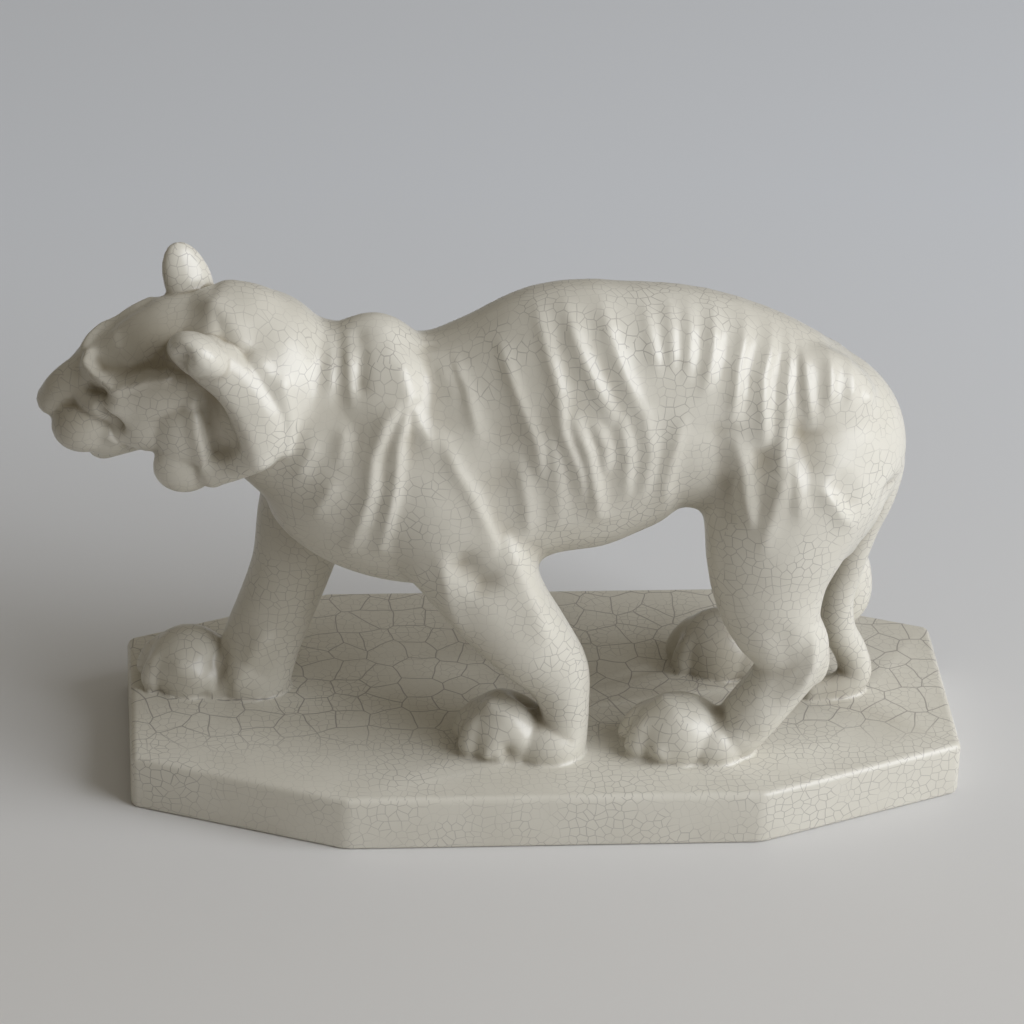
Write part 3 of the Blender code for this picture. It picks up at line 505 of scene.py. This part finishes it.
def head_axes(sizes):
    """The head's own axes, with its nose dipped and its crown leaning to the near side."""
    forward = Vector((-math.cos(sizes.head_pitch), 0.0, -math.sin(sizes.head_pitch)))
    plain_up = Vector((-math.sin(sizes.head_pitch), 0.0, math.cos(sizes.head_pitch)))
    near = Vector((0.0, -1.0, 0.0))
    up = plain_up * math.cos(sizes.head_roll) + near * math.sin(sizes.head_roll)
    far = -near * math.cos(sizes.head_roll) + plain_up * math.sin(sizes.head_roll)
    turn = Matrix((forward, far, up)).transposed().to_4x4()
    return Matrix.Translation(on_tiger(sizes, -sizes.head_ahead, 0.0, sizes.head_height)) @ turn


def new_object(name, bm):
    mesh = bpy.data.meshes.new(name)
    bm.to_mesh(mesh)
    bm.free()
    obj = bpy.data.objects.new(name, mesh)
    bpy.context.scene.collection.objects.link(obj)
    return obj


def ball(bm, mass, turn):
    """An oval ball from its middle and its three half sizes."""
    place = turn @ Matrix.Translation(mass[:3]) @ Matrix.Diagonal((*mass[3:], 1.0))
    bmesh.ops.create_icosphere(bm, subdivisions=BALL_STEPS, radius=1.0, matrix=place)


def smooth_stations(stations):
    """Catmull-Rom points through the stations."""
    points = [np.array(station) for station in stations]
    points = [2 * points[0] - points[1]] + points + [2 * points[-1] - points[-2]]
    line = []
    for a, b, c, d in zip(points, points[1:], points[2:], points[3:]):
        for step in range(STATION_STEPS):
            t = step / STATION_STEPS
            line.append(0.5 * (2 * b + (c - a) * t + (2 * a - 5 * b + 4 * c - d) * t ** 2
                               + (3 * b - a - 3 * c + d) * t ** 3))
    line.append(points[-2])
    return line


def limb(bm, stations, turn):
    """A closed tube of oval rings through the stations, with rounded ends."""
    line = smooth_stations(stations)
    rings = []
    for index, point in enumerate(line):
        before = line[max(index - 1, 0)]
        after = line[min(index + 1, len(line) - 1)]
        along = Vector(after[:3] - before[:3]).normalized()
        across = Vector((0.0, 1.0, 0.0))
        across = (across - along * across.dot(along)).normalized()
        outward = along.cross(across)
        ring = []
        for side in range(LIMB_SIDES):
            angle = 2 * math.pi * side / LIMB_SIDES
            reach = outward * (point[3] * math.cos(angle)) + across * (point[4] * math.sin(angle))
            spot = Vector(point[:3]) + reach
            ring.append(bm.verts.new(turn @ spot))
        rings.append(ring)
    for one, two in zip(rings, rings[1:]):
        for side in range(LIMB_SIDES):
            following = (side + 1) % LIMB_SIDES
            bm.faces.new((one[side], one[following], two[following], two[side]))
    bm.faces.new(list(reversed(rings[0])))
    bm.faces.new(rings[-1])
    for x, y, z, seen_side, seen_front in (stations[0], stations[-1]):
        end = LIMB_END * seen_side
        ball(bm, (x, y, z, end, LIMB_END * seen_front, end), turn)


def apply_modifiers(obj):
    graph = bpy.context.evaluated_depsgraph_get()
    mesh = bpy.data.meshes.new_from_object(obj.evaluated_get(graph))
    obj.modifiers.clear()
    obj.data = mesh
    return obj


def remesh(obj, voxel, smoothing):
    """Runs the overlapping closed shapes into one skin and rounds it."""
    shell = obj.modifiers.new("one skin", 'REMESH')
    shell.mode = 'VOXEL'
    shell.voxel_size = voxel
    return soften(obj, smoothing)


def soften(obj, steps):
    soft = obj.modifiers.new("glaze rounding", 'SMOOTH')
    soft.factor = SMOOTHING_SHARE
    soft.iterations = steps
    return apply_modifiers(obj)


def base_outline(sizes, inset=0.0):
    half_length = sizes.base_length / 2 - inset
    half_width = sizes.base_width / 2 - inset
    side = sizes.base_side_straight / 2
    end = sizes.base_end_straight / 2
    return ((-half_length, -end), (-side, -half_width), (side, -half_width), (half_length, -end),
            (half_length, end), (side, half_width), (-side, half_width), (-half_length, end))


def prism(bm, outline, low, high):
    floor = [bm.verts.new((x, y, low)) for x, y in outline]
    roof = [bm.verts.new((x, y, high)) for x, y in outline]
    bm.faces.new(list(reversed(floor)))
    bm.faces.new(roof)
    for index in range(len(outline)):
        following = (index + 1) % len(outline)
        bm.faces.new((floor[index], floor[following], roof[following], roof[index]))


def build_base(sizes):
    bm = bmesh.new()
    middle = sizes.base_height / 2
    prism(bm, base_outline(sizes), 0.0, sizes.base_height)
    upper = [e for e in bm.edges if all(v.co.z > middle for v in e.verts)]
    upright = [e for e in bm.edges if abs(e.verts[0].co.z - e.verts[1].co.z) > middle]
    bmesh.ops.bevel(bm, geom=upper + upright, offset=sizes.edge_round, offset_type='OFFSET',
                    segments=EDGE_SEGMENTS, profile=0.5, affect='EDGES', clamp_overlap=True)
    lower = [e for e in bm.edges if all(v.co.z < 1e-6 for v in e.verts)
             and any(f.normal.z > -0.5 for f in e.link_faces)]
    bmesh.ops.bevel(bm, geom=lower, offset=sizes.foot_round, offset_type='OFFSET',
                    segments=FOOT_SEGMENTS, profile=0.5, affect='EDGES', clamp_overlap=True)
    return new_object("base", bm)


def both_sides(mass):
    forward, side, up, *radii = mass
    return ((forward, -side, up, *radii), (forward, side, up, *radii))


def build_masses(sizes):
    bm = bmesh.new()
    lift = Matrix.Translation(on_tiger(sizes, 0.0, 0.0, 0.0))
    for stations in (TRUNK, NEAR_FORELEG, FAR_FORELEG, NEAR_HIND_LEG, FAR_HIND_LEG):
        limb(bm, stations, lift)
    for mass in MASSES:
        ball(bm, mass, lift)
    head = head_axes(sizes)
    for mass in (*SKULL, *both_sides(CHEEK_BONE)):
        ball(bm, mass, head)
    return remesh(new_object("masses", bm), sizes.mass_voxel, sizes.mass_smoothing)


def build_feet(bm, lift):
    for knob in LEG_KNOBS:
        ball(bm, knob, lift)
    for x, y, length, height in PAWS:
        foot = lift @ Matrix.Translation((x, y, 0.0)) @ Matrix.Diagonal((-length, -1.0, height, 1.0))
        for mass in PAW_MASSES:
            ball(bm, mass, foot)
        for toe in TOES:
            limb(bm, toe, foot)


def build_face(bm, head):
    for stations in (NOSE_BRIDGE, JAW, NEAR_RUFF, NEAR_NECK_LOCK, FAR_RUFF):
        limb(bm, stations, head)
    for pair in (*MUZZLE, *JOWLS):
        for mass in both_sides(pair):
            ball(bm, mass, head)
    ball(bm, EAR_RIM, head)
    for forward, side, up, splay, twist, *radii in EARS:
        foot = Matrix.Translation((forward, side, up))
        lean = Matrix.Rotation(-math.radians(splay), 4, 'X')
        turn = Matrix.Rotation(math.radians(twist), 4, 'Z')
        ball(bm, (0.0, 0.0, 0.0, *radii), head @ foot @ lean @ turn)


def distance_to_line(points, line):
    """Each point's distance to a line of straight runs, and how far along the line that is, from 0 to 1."""
    nearest = np.full(len(points), np.inf)
    along = np.zeros(len(points))
    for index, (start, end) in enumerate(zip(line, line[1:])):
        run = end - start
        share = np.clip((points - start) @ run / (run @ run), 0.0, 1.0)
        away = np.linalg.norm(points - start - share[:, None] * run, axis=1)
        along = np.where(away < nearest, (index + share) / (len(line) - 1), along)
        nearest = np.minimum(nearest, away)
    return nearest, along


def relief(points, marks, crest=0.0, taper=0.0):
    """The height of ridges and grooves at each point. Where ridges meet they don't pile up.

    The crest is the share of a ridge's height that is narrower. With a taper the ends fade out.
    """
    ridge = np.zeros(len(points))
    groove = np.zeros(len(points))
    for height, width, *line in marks:
        away, along = distance_to_line(points, [np.array(p) for p in line])
        away /= width
        if height > 0:
            end = 1.0 - taper * np.clip(1.0 - TAPER_SLOPE * np.minimum(along, 1.0 - along), 0.0, 1.0)
            form = (1.0 - crest) * np.exp(-away ** 2) + crest * np.exp(-(away / CREST_WIDTH) ** 2)
            ridge = np.maximum(ridge, height * end * form)
        else:
            groove = np.minimum(groove, height * np.exp(-away ** 2))
    return ridge + groove


def read_vectors(collection, name, count):
    values = np.empty(count * 3, dtype=np.float32)
    collection.foreach_get(name, values)
    return values.reshape(-1, 3).astype(float)


def carve_relief(sizes, obj):
    mesh = obj.data
    count = len(mesh.vertices)
    place = read_vectors(mesh.vertices, "co", count)
    normal = read_vectors(mesh.vertex_normals, "vector", count)
    on_body = place - np.array(on_tiger(sizes, 0.0, 0.0, 0.0))
    flank = on_body[:, (0, 2)]
    near = np.clip(-NEAR_FADE * normal[:, 1], 0.0, 1.0)
    far = np.clip(1.0 - FAR_FADE * (1.0 - normal[:, 1]), 0.0, 1.0)
    facing = np.maximum(near + far, sizes.top_relief * np.clip(normal[:, 2], 0.0, 1.0))
    lift = facing * relief(flank, FLANK_RELIEF, sizes.crest, sizes.taper)
    lift += facing * (on_body[:, 1] < 0) * relief(flank, NEAR_LEG_RELIEF, sizes.crest, sizes.taper)
    lift += relief(on_body, FOOT_RELIEF)
    to_head = np.array(head_axes(sizes).inverted())
    in_head = place @ to_head[:3, :3].T + to_head[:3, 3]
    for side, share in ((-1.0, 1.0), (1.0, sizes.far_relief)):
        lift += share * relief(in_head * (1.0, side, 1.0), HEAD_RELIEF)
    lift += relief(in_head, (EAR_HOLLOW,))
    place += normal * lift[:, None]
    mesh.vertices.foreach_set("co", place.ravel().astype(np.float32))
    mesh.update()


def build_tiger(sizes):
    masses = build_masses(sizes)
    bm = bmesh.new()
    bm.from_mesh(masses.data)
    bpy.data.objects.remove(masses, do_unlink=True)
    lift = Matrix.Translation(on_tiger(sizes, 0.0, 0.0, 0.0))
    limb(bm, TAIL, lift)
    build_feet(bm, lift)
    build_face(bm, head_axes(sizes))
    slab_top = sizes.base_height - SLAB_BELOW_TOP
    prism(bm, base_outline(sizes, SLAB_INSET), slab_top - SLAB_DEPTH, slab_top)
    voxel = sizes.form_voxel * 1.0
    tiger = remesh(new_object("tiger", bm), voxel, sizes.form_smoothing)
    carve_relief(sizes, tiger)
    soften(tiger, sizes.glaze_flow)
    tiger.data.calc_loop_triangles()
    thin = tiger.modifiers.new("fewer faces", 'DECIMATE')
    thin.ratio = min(1.0, sizes.triangles / len(tiger.data.loop_triangles))
    return apply_modifiers(tiger)


def mark_hollows(sizes, mesh):
    """Writes the pooled glaze and painted shade at each point, from 0 to 1: in hollows and at listed spots."""
    count = len(mesh.vertices)
    place = read_vectors(mesh.vertices, "co", count)
    normal = read_vectors(mesh.vertex_normals, "vector", count)
    edges = np.empty(len(mesh.edges) * 2, dtype=np.int32)
    mesh.edges.foreach_get("vertices", edges)
    one, two = edges[0::2], edges[1::2]
    links = np.maximum(np.bincount(edges, minlength=count), 1)
    relaxed = place.copy()
    for _ in range(HOLLOW_ROUNDS):
        total = np.stack([np.bincount(one, relaxed[two, axis], count)
                          + np.bincount(two, relaxed[one, axis], count) for axis in range(3)], axis=1)
        relaxed = 0.5 * relaxed + 0.5 * total / links[:, None]
    depth = np.einsum('ij,ij->i', relaxed - place, normal)
    on_body = place - np.array(on_tiger(sizes, 0.0, 0.0, 0.0))
    over_base = np.clip((on_body[:, 2] - HOLLOW_START) / HOLLOW_FADE, 0.0, 1.0)
    gathered_and_shaded = HOLLOW_SHARE * np.clip(depth / HOLLOW_DEPTH, 0.0, 1.0) * over_base
    # Painted shade, and pooled glaze on the face, at the listed spots
    for x, y, height, reach, amount in SHADE_AND_POOL_SPOTS:
        away = np.linalg.norm(on_body - (x, y, height), axis=1) / reach
        gathered_and_shaded += amount * np.exp(-away ** 2)
    gathered_and_shaded = np.clip(gathered_and_shaded, 0.0, 1.0).astype(np.float32)
    mesh.attributes.new("pooled_glaze_and_shade", 'FLOAT', 'POINT').data.foreach_set("value", gathered_and_shaded)


def add_node(tree, kind, settings=None, **links):
    """Adds a node, sets its properties from settings, and sets or links its inputs."""
    node = tree.nodes.new(kind)
    for name, value in (settings or {}).items():
        setattr(node, name, value)
    for name, value in links.items():
        socket = node.inputs[int(name[1:]) if name[0] == "_" else name.replace("_", " ")]
        if isinstance(value, bpy.types.NodeSocket):
            tree.links.new(value, socket)
        else:
            socket.default_value = value
    return node


def glaze_material(look, base_height):
    """Crackle-glazed earthenware, cast and dipped: a soft deep gloss over warm cream, with stained cracks."""
    material = bpy.data.materials.new("crackle_glazed_earthenware")
    material.use_nodes = True
    tree = material.node_tree
    shader = tree.nodes["Principled BSDF"]
    coordinates = add_node(tree, "ShaderNodeTexCoord")
    place = coordinates.outputs["Object"]

    # The crackle is laid on flat from the side, from above or from the end, whichever the surface faces most,
    # and a slow wander bends it and fades it here and there
    wander = add_node(tree, "ShaderNodeTexNoise", Vector=place, Scale=WANDER_WAVES, Detail=1.0)
    shift = add_node(tree, "ShaderNodeVectorMath", {"operation": 'SCALE'}, _0=wander.outputs["Color"],
                     Scale=WANDER_REACH)
    bent = add_node(tree, "ShaderNodeVectorMath", {"operation": 'ADD'}, _0=place, _1=shift.outputs[0])
    crack_spot = add_node(tree, "ShaderNodeSeparateXYZ", _0=bent.outputs[0])
    unsigned = add_node(tree, "ShaderNodeVectorMath", {"operation": 'ABSOLUTE'},
                        _0=coordinates.outputs["Normal"])
    facing = add_node(tree, "ShaderNodeSeparateXYZ", _0=unsigned.outputs[0])
    seen_side = add_node(tree, "ShaderNodeCombineXYZ", X=crack_spot.outputs["X"], Y=crack_spot.outputs["Z"])
    seen_end = add_node(tree, "ShaderNodeCombineXYZ", X=crack_spot.outputs["Y"], Y=crack_spot.outputs["Z"])
    seen_top = add_node(tree, "ShaderNodeCombineXYZ", X=crack_spot.outputs["X"], Y=crack_spot.outputs["Y"])
    sideways = add_node(tree, "ShaderNodeMath", {"operation": 'MAXIMUM'}, _0=facing.outputs["X"],
                        _1=facing.outputs["Y"])
    to_end = add_node(tree, "ShaderNodeMath", {"operation": 'GREATER_THAN'}, _0=facing.outputs["X"],
                      _1=facing.outputs["Y"])
    to_top = add_node(tree, "ShaderNodeMath", {"operation": 'GREATER_THAN'}, _0=facing.outputs["Z"],
                      _1=sideways.outputs[0])
    upright = add_node(tree, "ShaderNodeMix", {"data_type": 'VECTOR'}, _0=to_end.outputs[0],
                       _4=seen_side.outputs[0], _5=seen_end.outputs[0])
    flat = add_node(tree, "ShaderNodeMix", {"data_type": 'VECTOR'}, _0=to_top.outputs[0], _4=upright.outputs[1],
                    _5=seen_top.outputs[0])

    def cracks(cell, line):
        """1 in the middle of a crack and 0 off it, for pieces and lines of these widths."""
        cells = add_node(tree, "ShaderNodeTexVoronoi",
                         {"feature": 'DISTANCE_TO_EDGE', "voronoi_dimensions": '2D'},
                         Vector=flat.outputs[1], Scale=1.0 / cell, Randomness=CRACK_IRREGULARITY)
        ramp = add_node(tree, "ShaderNodeMapRange", {"interpolation_type": 'SMOOTHSTEP'},
                        _0=cells.outputs["Distance"], _1=0.0, _2=line / cell, _3=1.0, _4=0.0)
        return ramp.outputs[0]

    fine = cracks(look.fine_cell, look.fine_line)
    coarse = cracks(look.coarse_cell, look.coarse_line)

    # The long cracks show on the base's top behind the near feet, the fine ones in patches everywhere
    spot = add_node(tree, "ShaderNodeSeparateXYZ", _0=place)
    over_top = add_node(tree, "ShaderNodeMapRange", _0=spot.outputs["Z"], _1=base_height + LONG_CRACKS_OVER[0],
                        _2=base_height + LONG_CRACKS_OVER[1])
    under_leg = add_node(tree, "ShaderNodeMapRange", _0=spot.outputs["Z"],
                         _1=base_height + LONG_CRACKS_UNDER[0], _2=base_height + LONG_CRACKS_UNDER[1])
    behind = add_node(tree, "ShaderNodeMapRange", _0=spot.outputs["Y"], _1=LONG_CRACKS_BEHIND[0],
                      _2=LONG_CRACKS_BEHIND[1], _4=look.coarse_stain)
    on_top = add_node(tree, "ShaderNodeMath", {"operation": 'MULTIPLY'}, _0=over_top.outputs[0],
                      _1=under_leg.outputs[0])
    on_base = add_node(tree, "ShaderNodeMath", {"operation": 'MULTIPLY'}, _0=on_top.outputs[0],
                       _1=behind.outputs[0])
    patches = add_node(tree, "ShaderNodeTexNoise", Vector=place, Scale=PATCH_WAVES, Detail=2.0)
    stain = add_node(tree, "ShaderNodeMapRange", _0=patches.outputs["Fac"], _1=STAIN_RANGE[0],
                     _2=STAIN_RANGE[1], _3=look.fine_stain * STAIN_LEAST, _4=look.fine_stain)
    fade = add_node(tree, "ShaderNodeMapRange", _0=wander.outputs["Fac"], _1=FADE_RANGE[0], _2=FADE_RANGE[1],
                    _3=FADE_LEAST, _4=1.0)
    faded = add_node(tree, "ShaderNodeMath", {"operation": 'MULTIPLY'}, _0=fine, _1=fade.outputs[0])
    fine_stain = add_node(tree, "ShaderNodeMath", {"operation": 'MULTIPLY'}, _0=faded.outputs[0],
                          _1=stain.outputs[0])
    coarse_stain = add_node(tree, "ShaderNodeMath", {"operation": 'MULTIPLY'}, _0=coarse, _1=on_base.outputs[0])
    both = add_node(tree, "ShaderNodeMath", {"operation": 'MAXIMUM'}, _0=fine_stain.outputs[0],
                    _1=coarse_stain.outputs[0])

    # Hollows tint darker as pooled glaze and painted shade, and the cream wanders a little everywhere
    pooled_glaze_and_shade = add_node(tree, "ShaderNodeAttribute", {"attribute_name": "pooled_glaze_and_shade"}).outputs["Fac"]
    tone = add_node(tree, "ShaderNodeMapRange", _0=patches.outputs["Fac"], _1=TONE_RANGE[0], _2=TONE_RANGE[1],
                    _3=TONE_MOST, _4=0.0)
    pooled_and_shaded = add_node(tree, "ShaderNodeMath", {"operation": 'MULTIPLY_ADD', "use_clamp": True}, _0=pooled_glaze_and_shade,
                      _1=POOL_AND_SHADE_MOST, _2=tone.outputs[0])
    body = add_node(tree, "ShaderNodeMix", {"data_type": 'RGBA'}, _0=pooled_and_shaded.outputs[0], _6=(*look.cream, 1.0),
                    _7=(*look.pooled_glaze_and_shade, 1.0))
    colour = add_node(tree, "ShaderNodeMix", {"data_type": 'RGBA'}, _0=both.outputs[0], _6=body.outputs[2],
                      _7=(*look.crack, 1.0))
    tree.links.new(colour.outputs[2], shader.inputs["Base Color"])

    # The glaze lies a little unevenly, which breaks the lamp's reflection
    ripple = add_node(tree, "ShaderNodeTexNoise", Vector=place, Scale=RIPPLE_WAVES, Detail=1.0)
    bump = add_node(tree, "ShaderNodeBump", Height=ripple.outputs["Fac"], Strength=RIPPLE_STRENGTH,
                    Distance=RIPPLE_HEIGHT)
    tree.links.new(bump.outputs[0], shader.inputs["Normal"])
    shader.inputs["Roughness"].default_value = look.roughness
    shader.inputs["IOR"].default_value = GLAZE_IOR
    shader.inputs["Metallic"].default_value = 0.0
    return material


class FIGURINE_OT_cast_tiger(bpy.types.Operator):
    """Builds the tiger and its base as one glazed casting in place of the plain solid"""
    bl_idname = "figurine.cast_tiger"
    bl_label = "Cast and Glaze the Tiger"

    def execute(self, context):
        sizes = context.scene.figurine_sizes
        tiger = build_tiger(sizes)
        casting = build_base(sizes)
        join = casting.modifiers.new("tiger", 'BOOLEAN')
        join.operation = 'UNION'
        join.solver = 'EXACT'
        join.object = tiger
        apply_modifiers(casting)
        bpy.data.objects.remove(tiger, do_unlink=True)
        casting.name = "glazed_tiger"
        # Pooled glaze and painted shade, in the hollows and at the listed spots
        mark_hollows(sizes, casting.data)
        casting.data.materials.clear()
        casting.data.materials.append(glaze_material(context.scene.glaze_look, sizes.base_height))
        casting.data.shade_smooth()
        casting.data.set_sharp_from_angle(angle=SHARP_ANGLE)
        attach(casting, "root")
        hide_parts("tiger_figurine")
        return {'FINISHED'}


def camera_pose(studio):
    """The camera's place and turn, with the base's middle at BASE_IN_PICTURE."""
    focal_pixels = studio.lens / SENSOR_WIDTH * PICTURE_WIDTH
    a, e = studio.azimuth, studio.elevation
    back = Vector((math.sin(a) * math.cos(e), -math.cos(a) * math.cos(e), math.sin(e)))
    level_right = Vector((0.0, 0.0, 1.0)).cross(back).normalized()
    level_up = back.cross(level_right)
    right = level_right * math.cos(studio.roll) + level_up * math.sin(studio.roll)
    up = level_up * math.cos(studio.roll) - level_right * math.sin(studio.roll)
    per_pixel = studio.distance / focal_pixels
    spot = back * studio.distance - right * ((BASE_IN_PICTURE[0] - PICTURE_WIDTH / 2) * per_pixel)
    spot += up * ((BASE_IN_PICTURE[1] - PICTURE_WIDTH / 2) * per_pixel)
    turn = Matrix((right, up, back)).transposed().to_4x4()
    return Matrix.Translation(spot) @ turn


def paper_material(near_colour, painted_light_colour):
    """Matt seamless paper with painted light, a little lighter and cooler behind the figurine, faintly cloudy.
    """
    material = bpy.data.materials.new("seamless_paper")
    material.use_nodes = True
    tree = material.node_tree
    shader = tree.nodes["Principled BSDF"]
    place = add_node(tree, "ShaderNodeTexCoord").outputs["Object"]
    cloud = add_node(tree, "ShaderNodeTexNoise", Vector=place, Scale=PAPER_CLOUD_WAVES, Detail=4.0)
    # Painted light: towards the back the paper takes the lighter, cooler colour
    spot = add_node(tree, "ShaderNodeSeparateXYZ", _0=place)
    drift = add_node(tree, "ShaderNodeMath", {"operation": 'MULTIPLY_ADD'}, _0=cloud.outputs["Fac"],
                     _1=PAPER_CLOUD_SHARE, _2=spot.outputs["Y"])
    share = add_node(tree, "ShaderNodeMapRange", _0=drift.outputs[0], _1=PAPER_CHANGE[0], _2=PAPER_CHANGE[1])
    tone = add_node(tree, "ShaderNodeMix", {"data_type": 'RGBA'}, _0=share.outputs[0], _6=(*near_colour, 1.0),
                    _7=(*painted_light_colour, 1.0))
    tree.links.new(tone.outputs[2], shader.inputs["Base Color"])
    shader.inputs["Roughness"].default_value = PAPER_ROUGHNESS
    return material


class FIGURINE_OT_set_studio(bpy.types.Operator):
    """Adds the paper floor, the two lamps, the light from all round and the camera"""
    bl_idname = "figurine.set_studio"
    bl_label = "Set Up the Studio"

    def execute(self, context):
        scene = context.scene
        studio = scene.studio_look
        bm = bmesh.new()
        bmesh.ops.create_grid(bm, x_segments=8, y_segments=8, size=PAPER_HALF_SIZE)
        paper = new_object("paper_floor", bm)
        paper.data.materials.append(paper_material(studio.floor, studio.far_floor_painted_light))

        lamp = bpy.data.lights.new("key_window", 'AREA')
        lamp.shape = 'SQUARE'
        lamp.size = KEY_SIZE
        lamp.energy = studio.key_power
        lamp.color = studio.key_colour
        key = bpy.data.objects.new("key_window", lamp)
        scene.collection.objects.link(key)
        towards = Vector(KEY_DIRECTION).normalized()
        key.location = towards * KEY_DISTANCE
        key.rotation_euler = towards.to_track_quat('Z', 'Y').to_euler()

        ceiling = bpy.data.lights.new("ceiling_bounce", 'AREA')
        ceiling.shape = 'SQUARE'
        ceiling.size = CEILING_SIZE
        ceiling.energy = studio.ceiling_power
        above = bpy.data.objects.new("ceiling_bounce", ceiling)
        scene.collection.objects.link(above)
        above.location = CEILING_SPOT

        world = bpy.data.worlds.new("studio_sky")
        world.use_nodes = True
        backdrop = world.node_tree.nodes["Background"]
        backdrop.inputs["Color"].default_value = (*studio.sky_colour, 1.0)
        backdrop.inputs["Strength"].default_value = studio.sky
        scene.world = world

        camera = bpy.data.objects.new("camera", bpy.data.cameras.new("camera"))
        scene.collection.objects.link(camera)
        camera.data.sensor_width = SENSOR_WIDTH
        camera.data.lens = studio.lens
        camera.data.clip_start = 0.1
        camera.data.clip_end = 50.0
        camera.matrix_world = camera_pose(studio)
        scene.camera = camera
        scene.view_settings.view_transform = 'Standard'
        return {'FINISHED'}


class FIGURINE_PT_panel(bpy.types.Panel):
    """The figurine's sizes, glaze and studio, with a button for each step"""
    bl_label = "Glazed Tiger Figurine"
    bl_idname = "FIGURINE_PT_panel"
    bl_space_type = 'VIEW_3D'
    bl_region_type = 'UI'
    bl_category = "Figurine"

    def draw(self, context):
        for group, operator in ((context.scene.figurine_sizes, FIGURINE_OT_cast_tiger),
                                (context.scene.glaze_look, None),
                                (context.scene.studio_look, FIGURINE_OT_set_studio)):
            box = self.layout.box()
            for name in group.__annotations__:
                box.prop(group, name)
            if operator:
                box.operator(operator.bl_idname)


GROUPS = {"figurine_sizes": FigurineSizes, "glaze_look": GlazeLook, "studio_look": StudioLook}
CLASSES = (*GROUPS.values(), FIGURINE_OT_cast_tiger, FIGURINE_OT_set_studio, FIGURINE_PT_panel)


def register():
    for cls in CLASSES:
        bpy.utils.register_class(cls)
    for name, group in GROUPS.items():
        setattr(bpy.types.Scene, name, PointerProperty(type=group))


def unregister():
    for name in GROUPS:
        delattr(bpy.types.Scene, name)
    for cls in reversed(CLASSES):
        bpy.utils.unregister_class(cls)


def main():
    register()
    bpy.ops.figurine.cast_tiger()
    bpy.ops.figurine.set_studio()


if __name__ == "__main__":
    main()
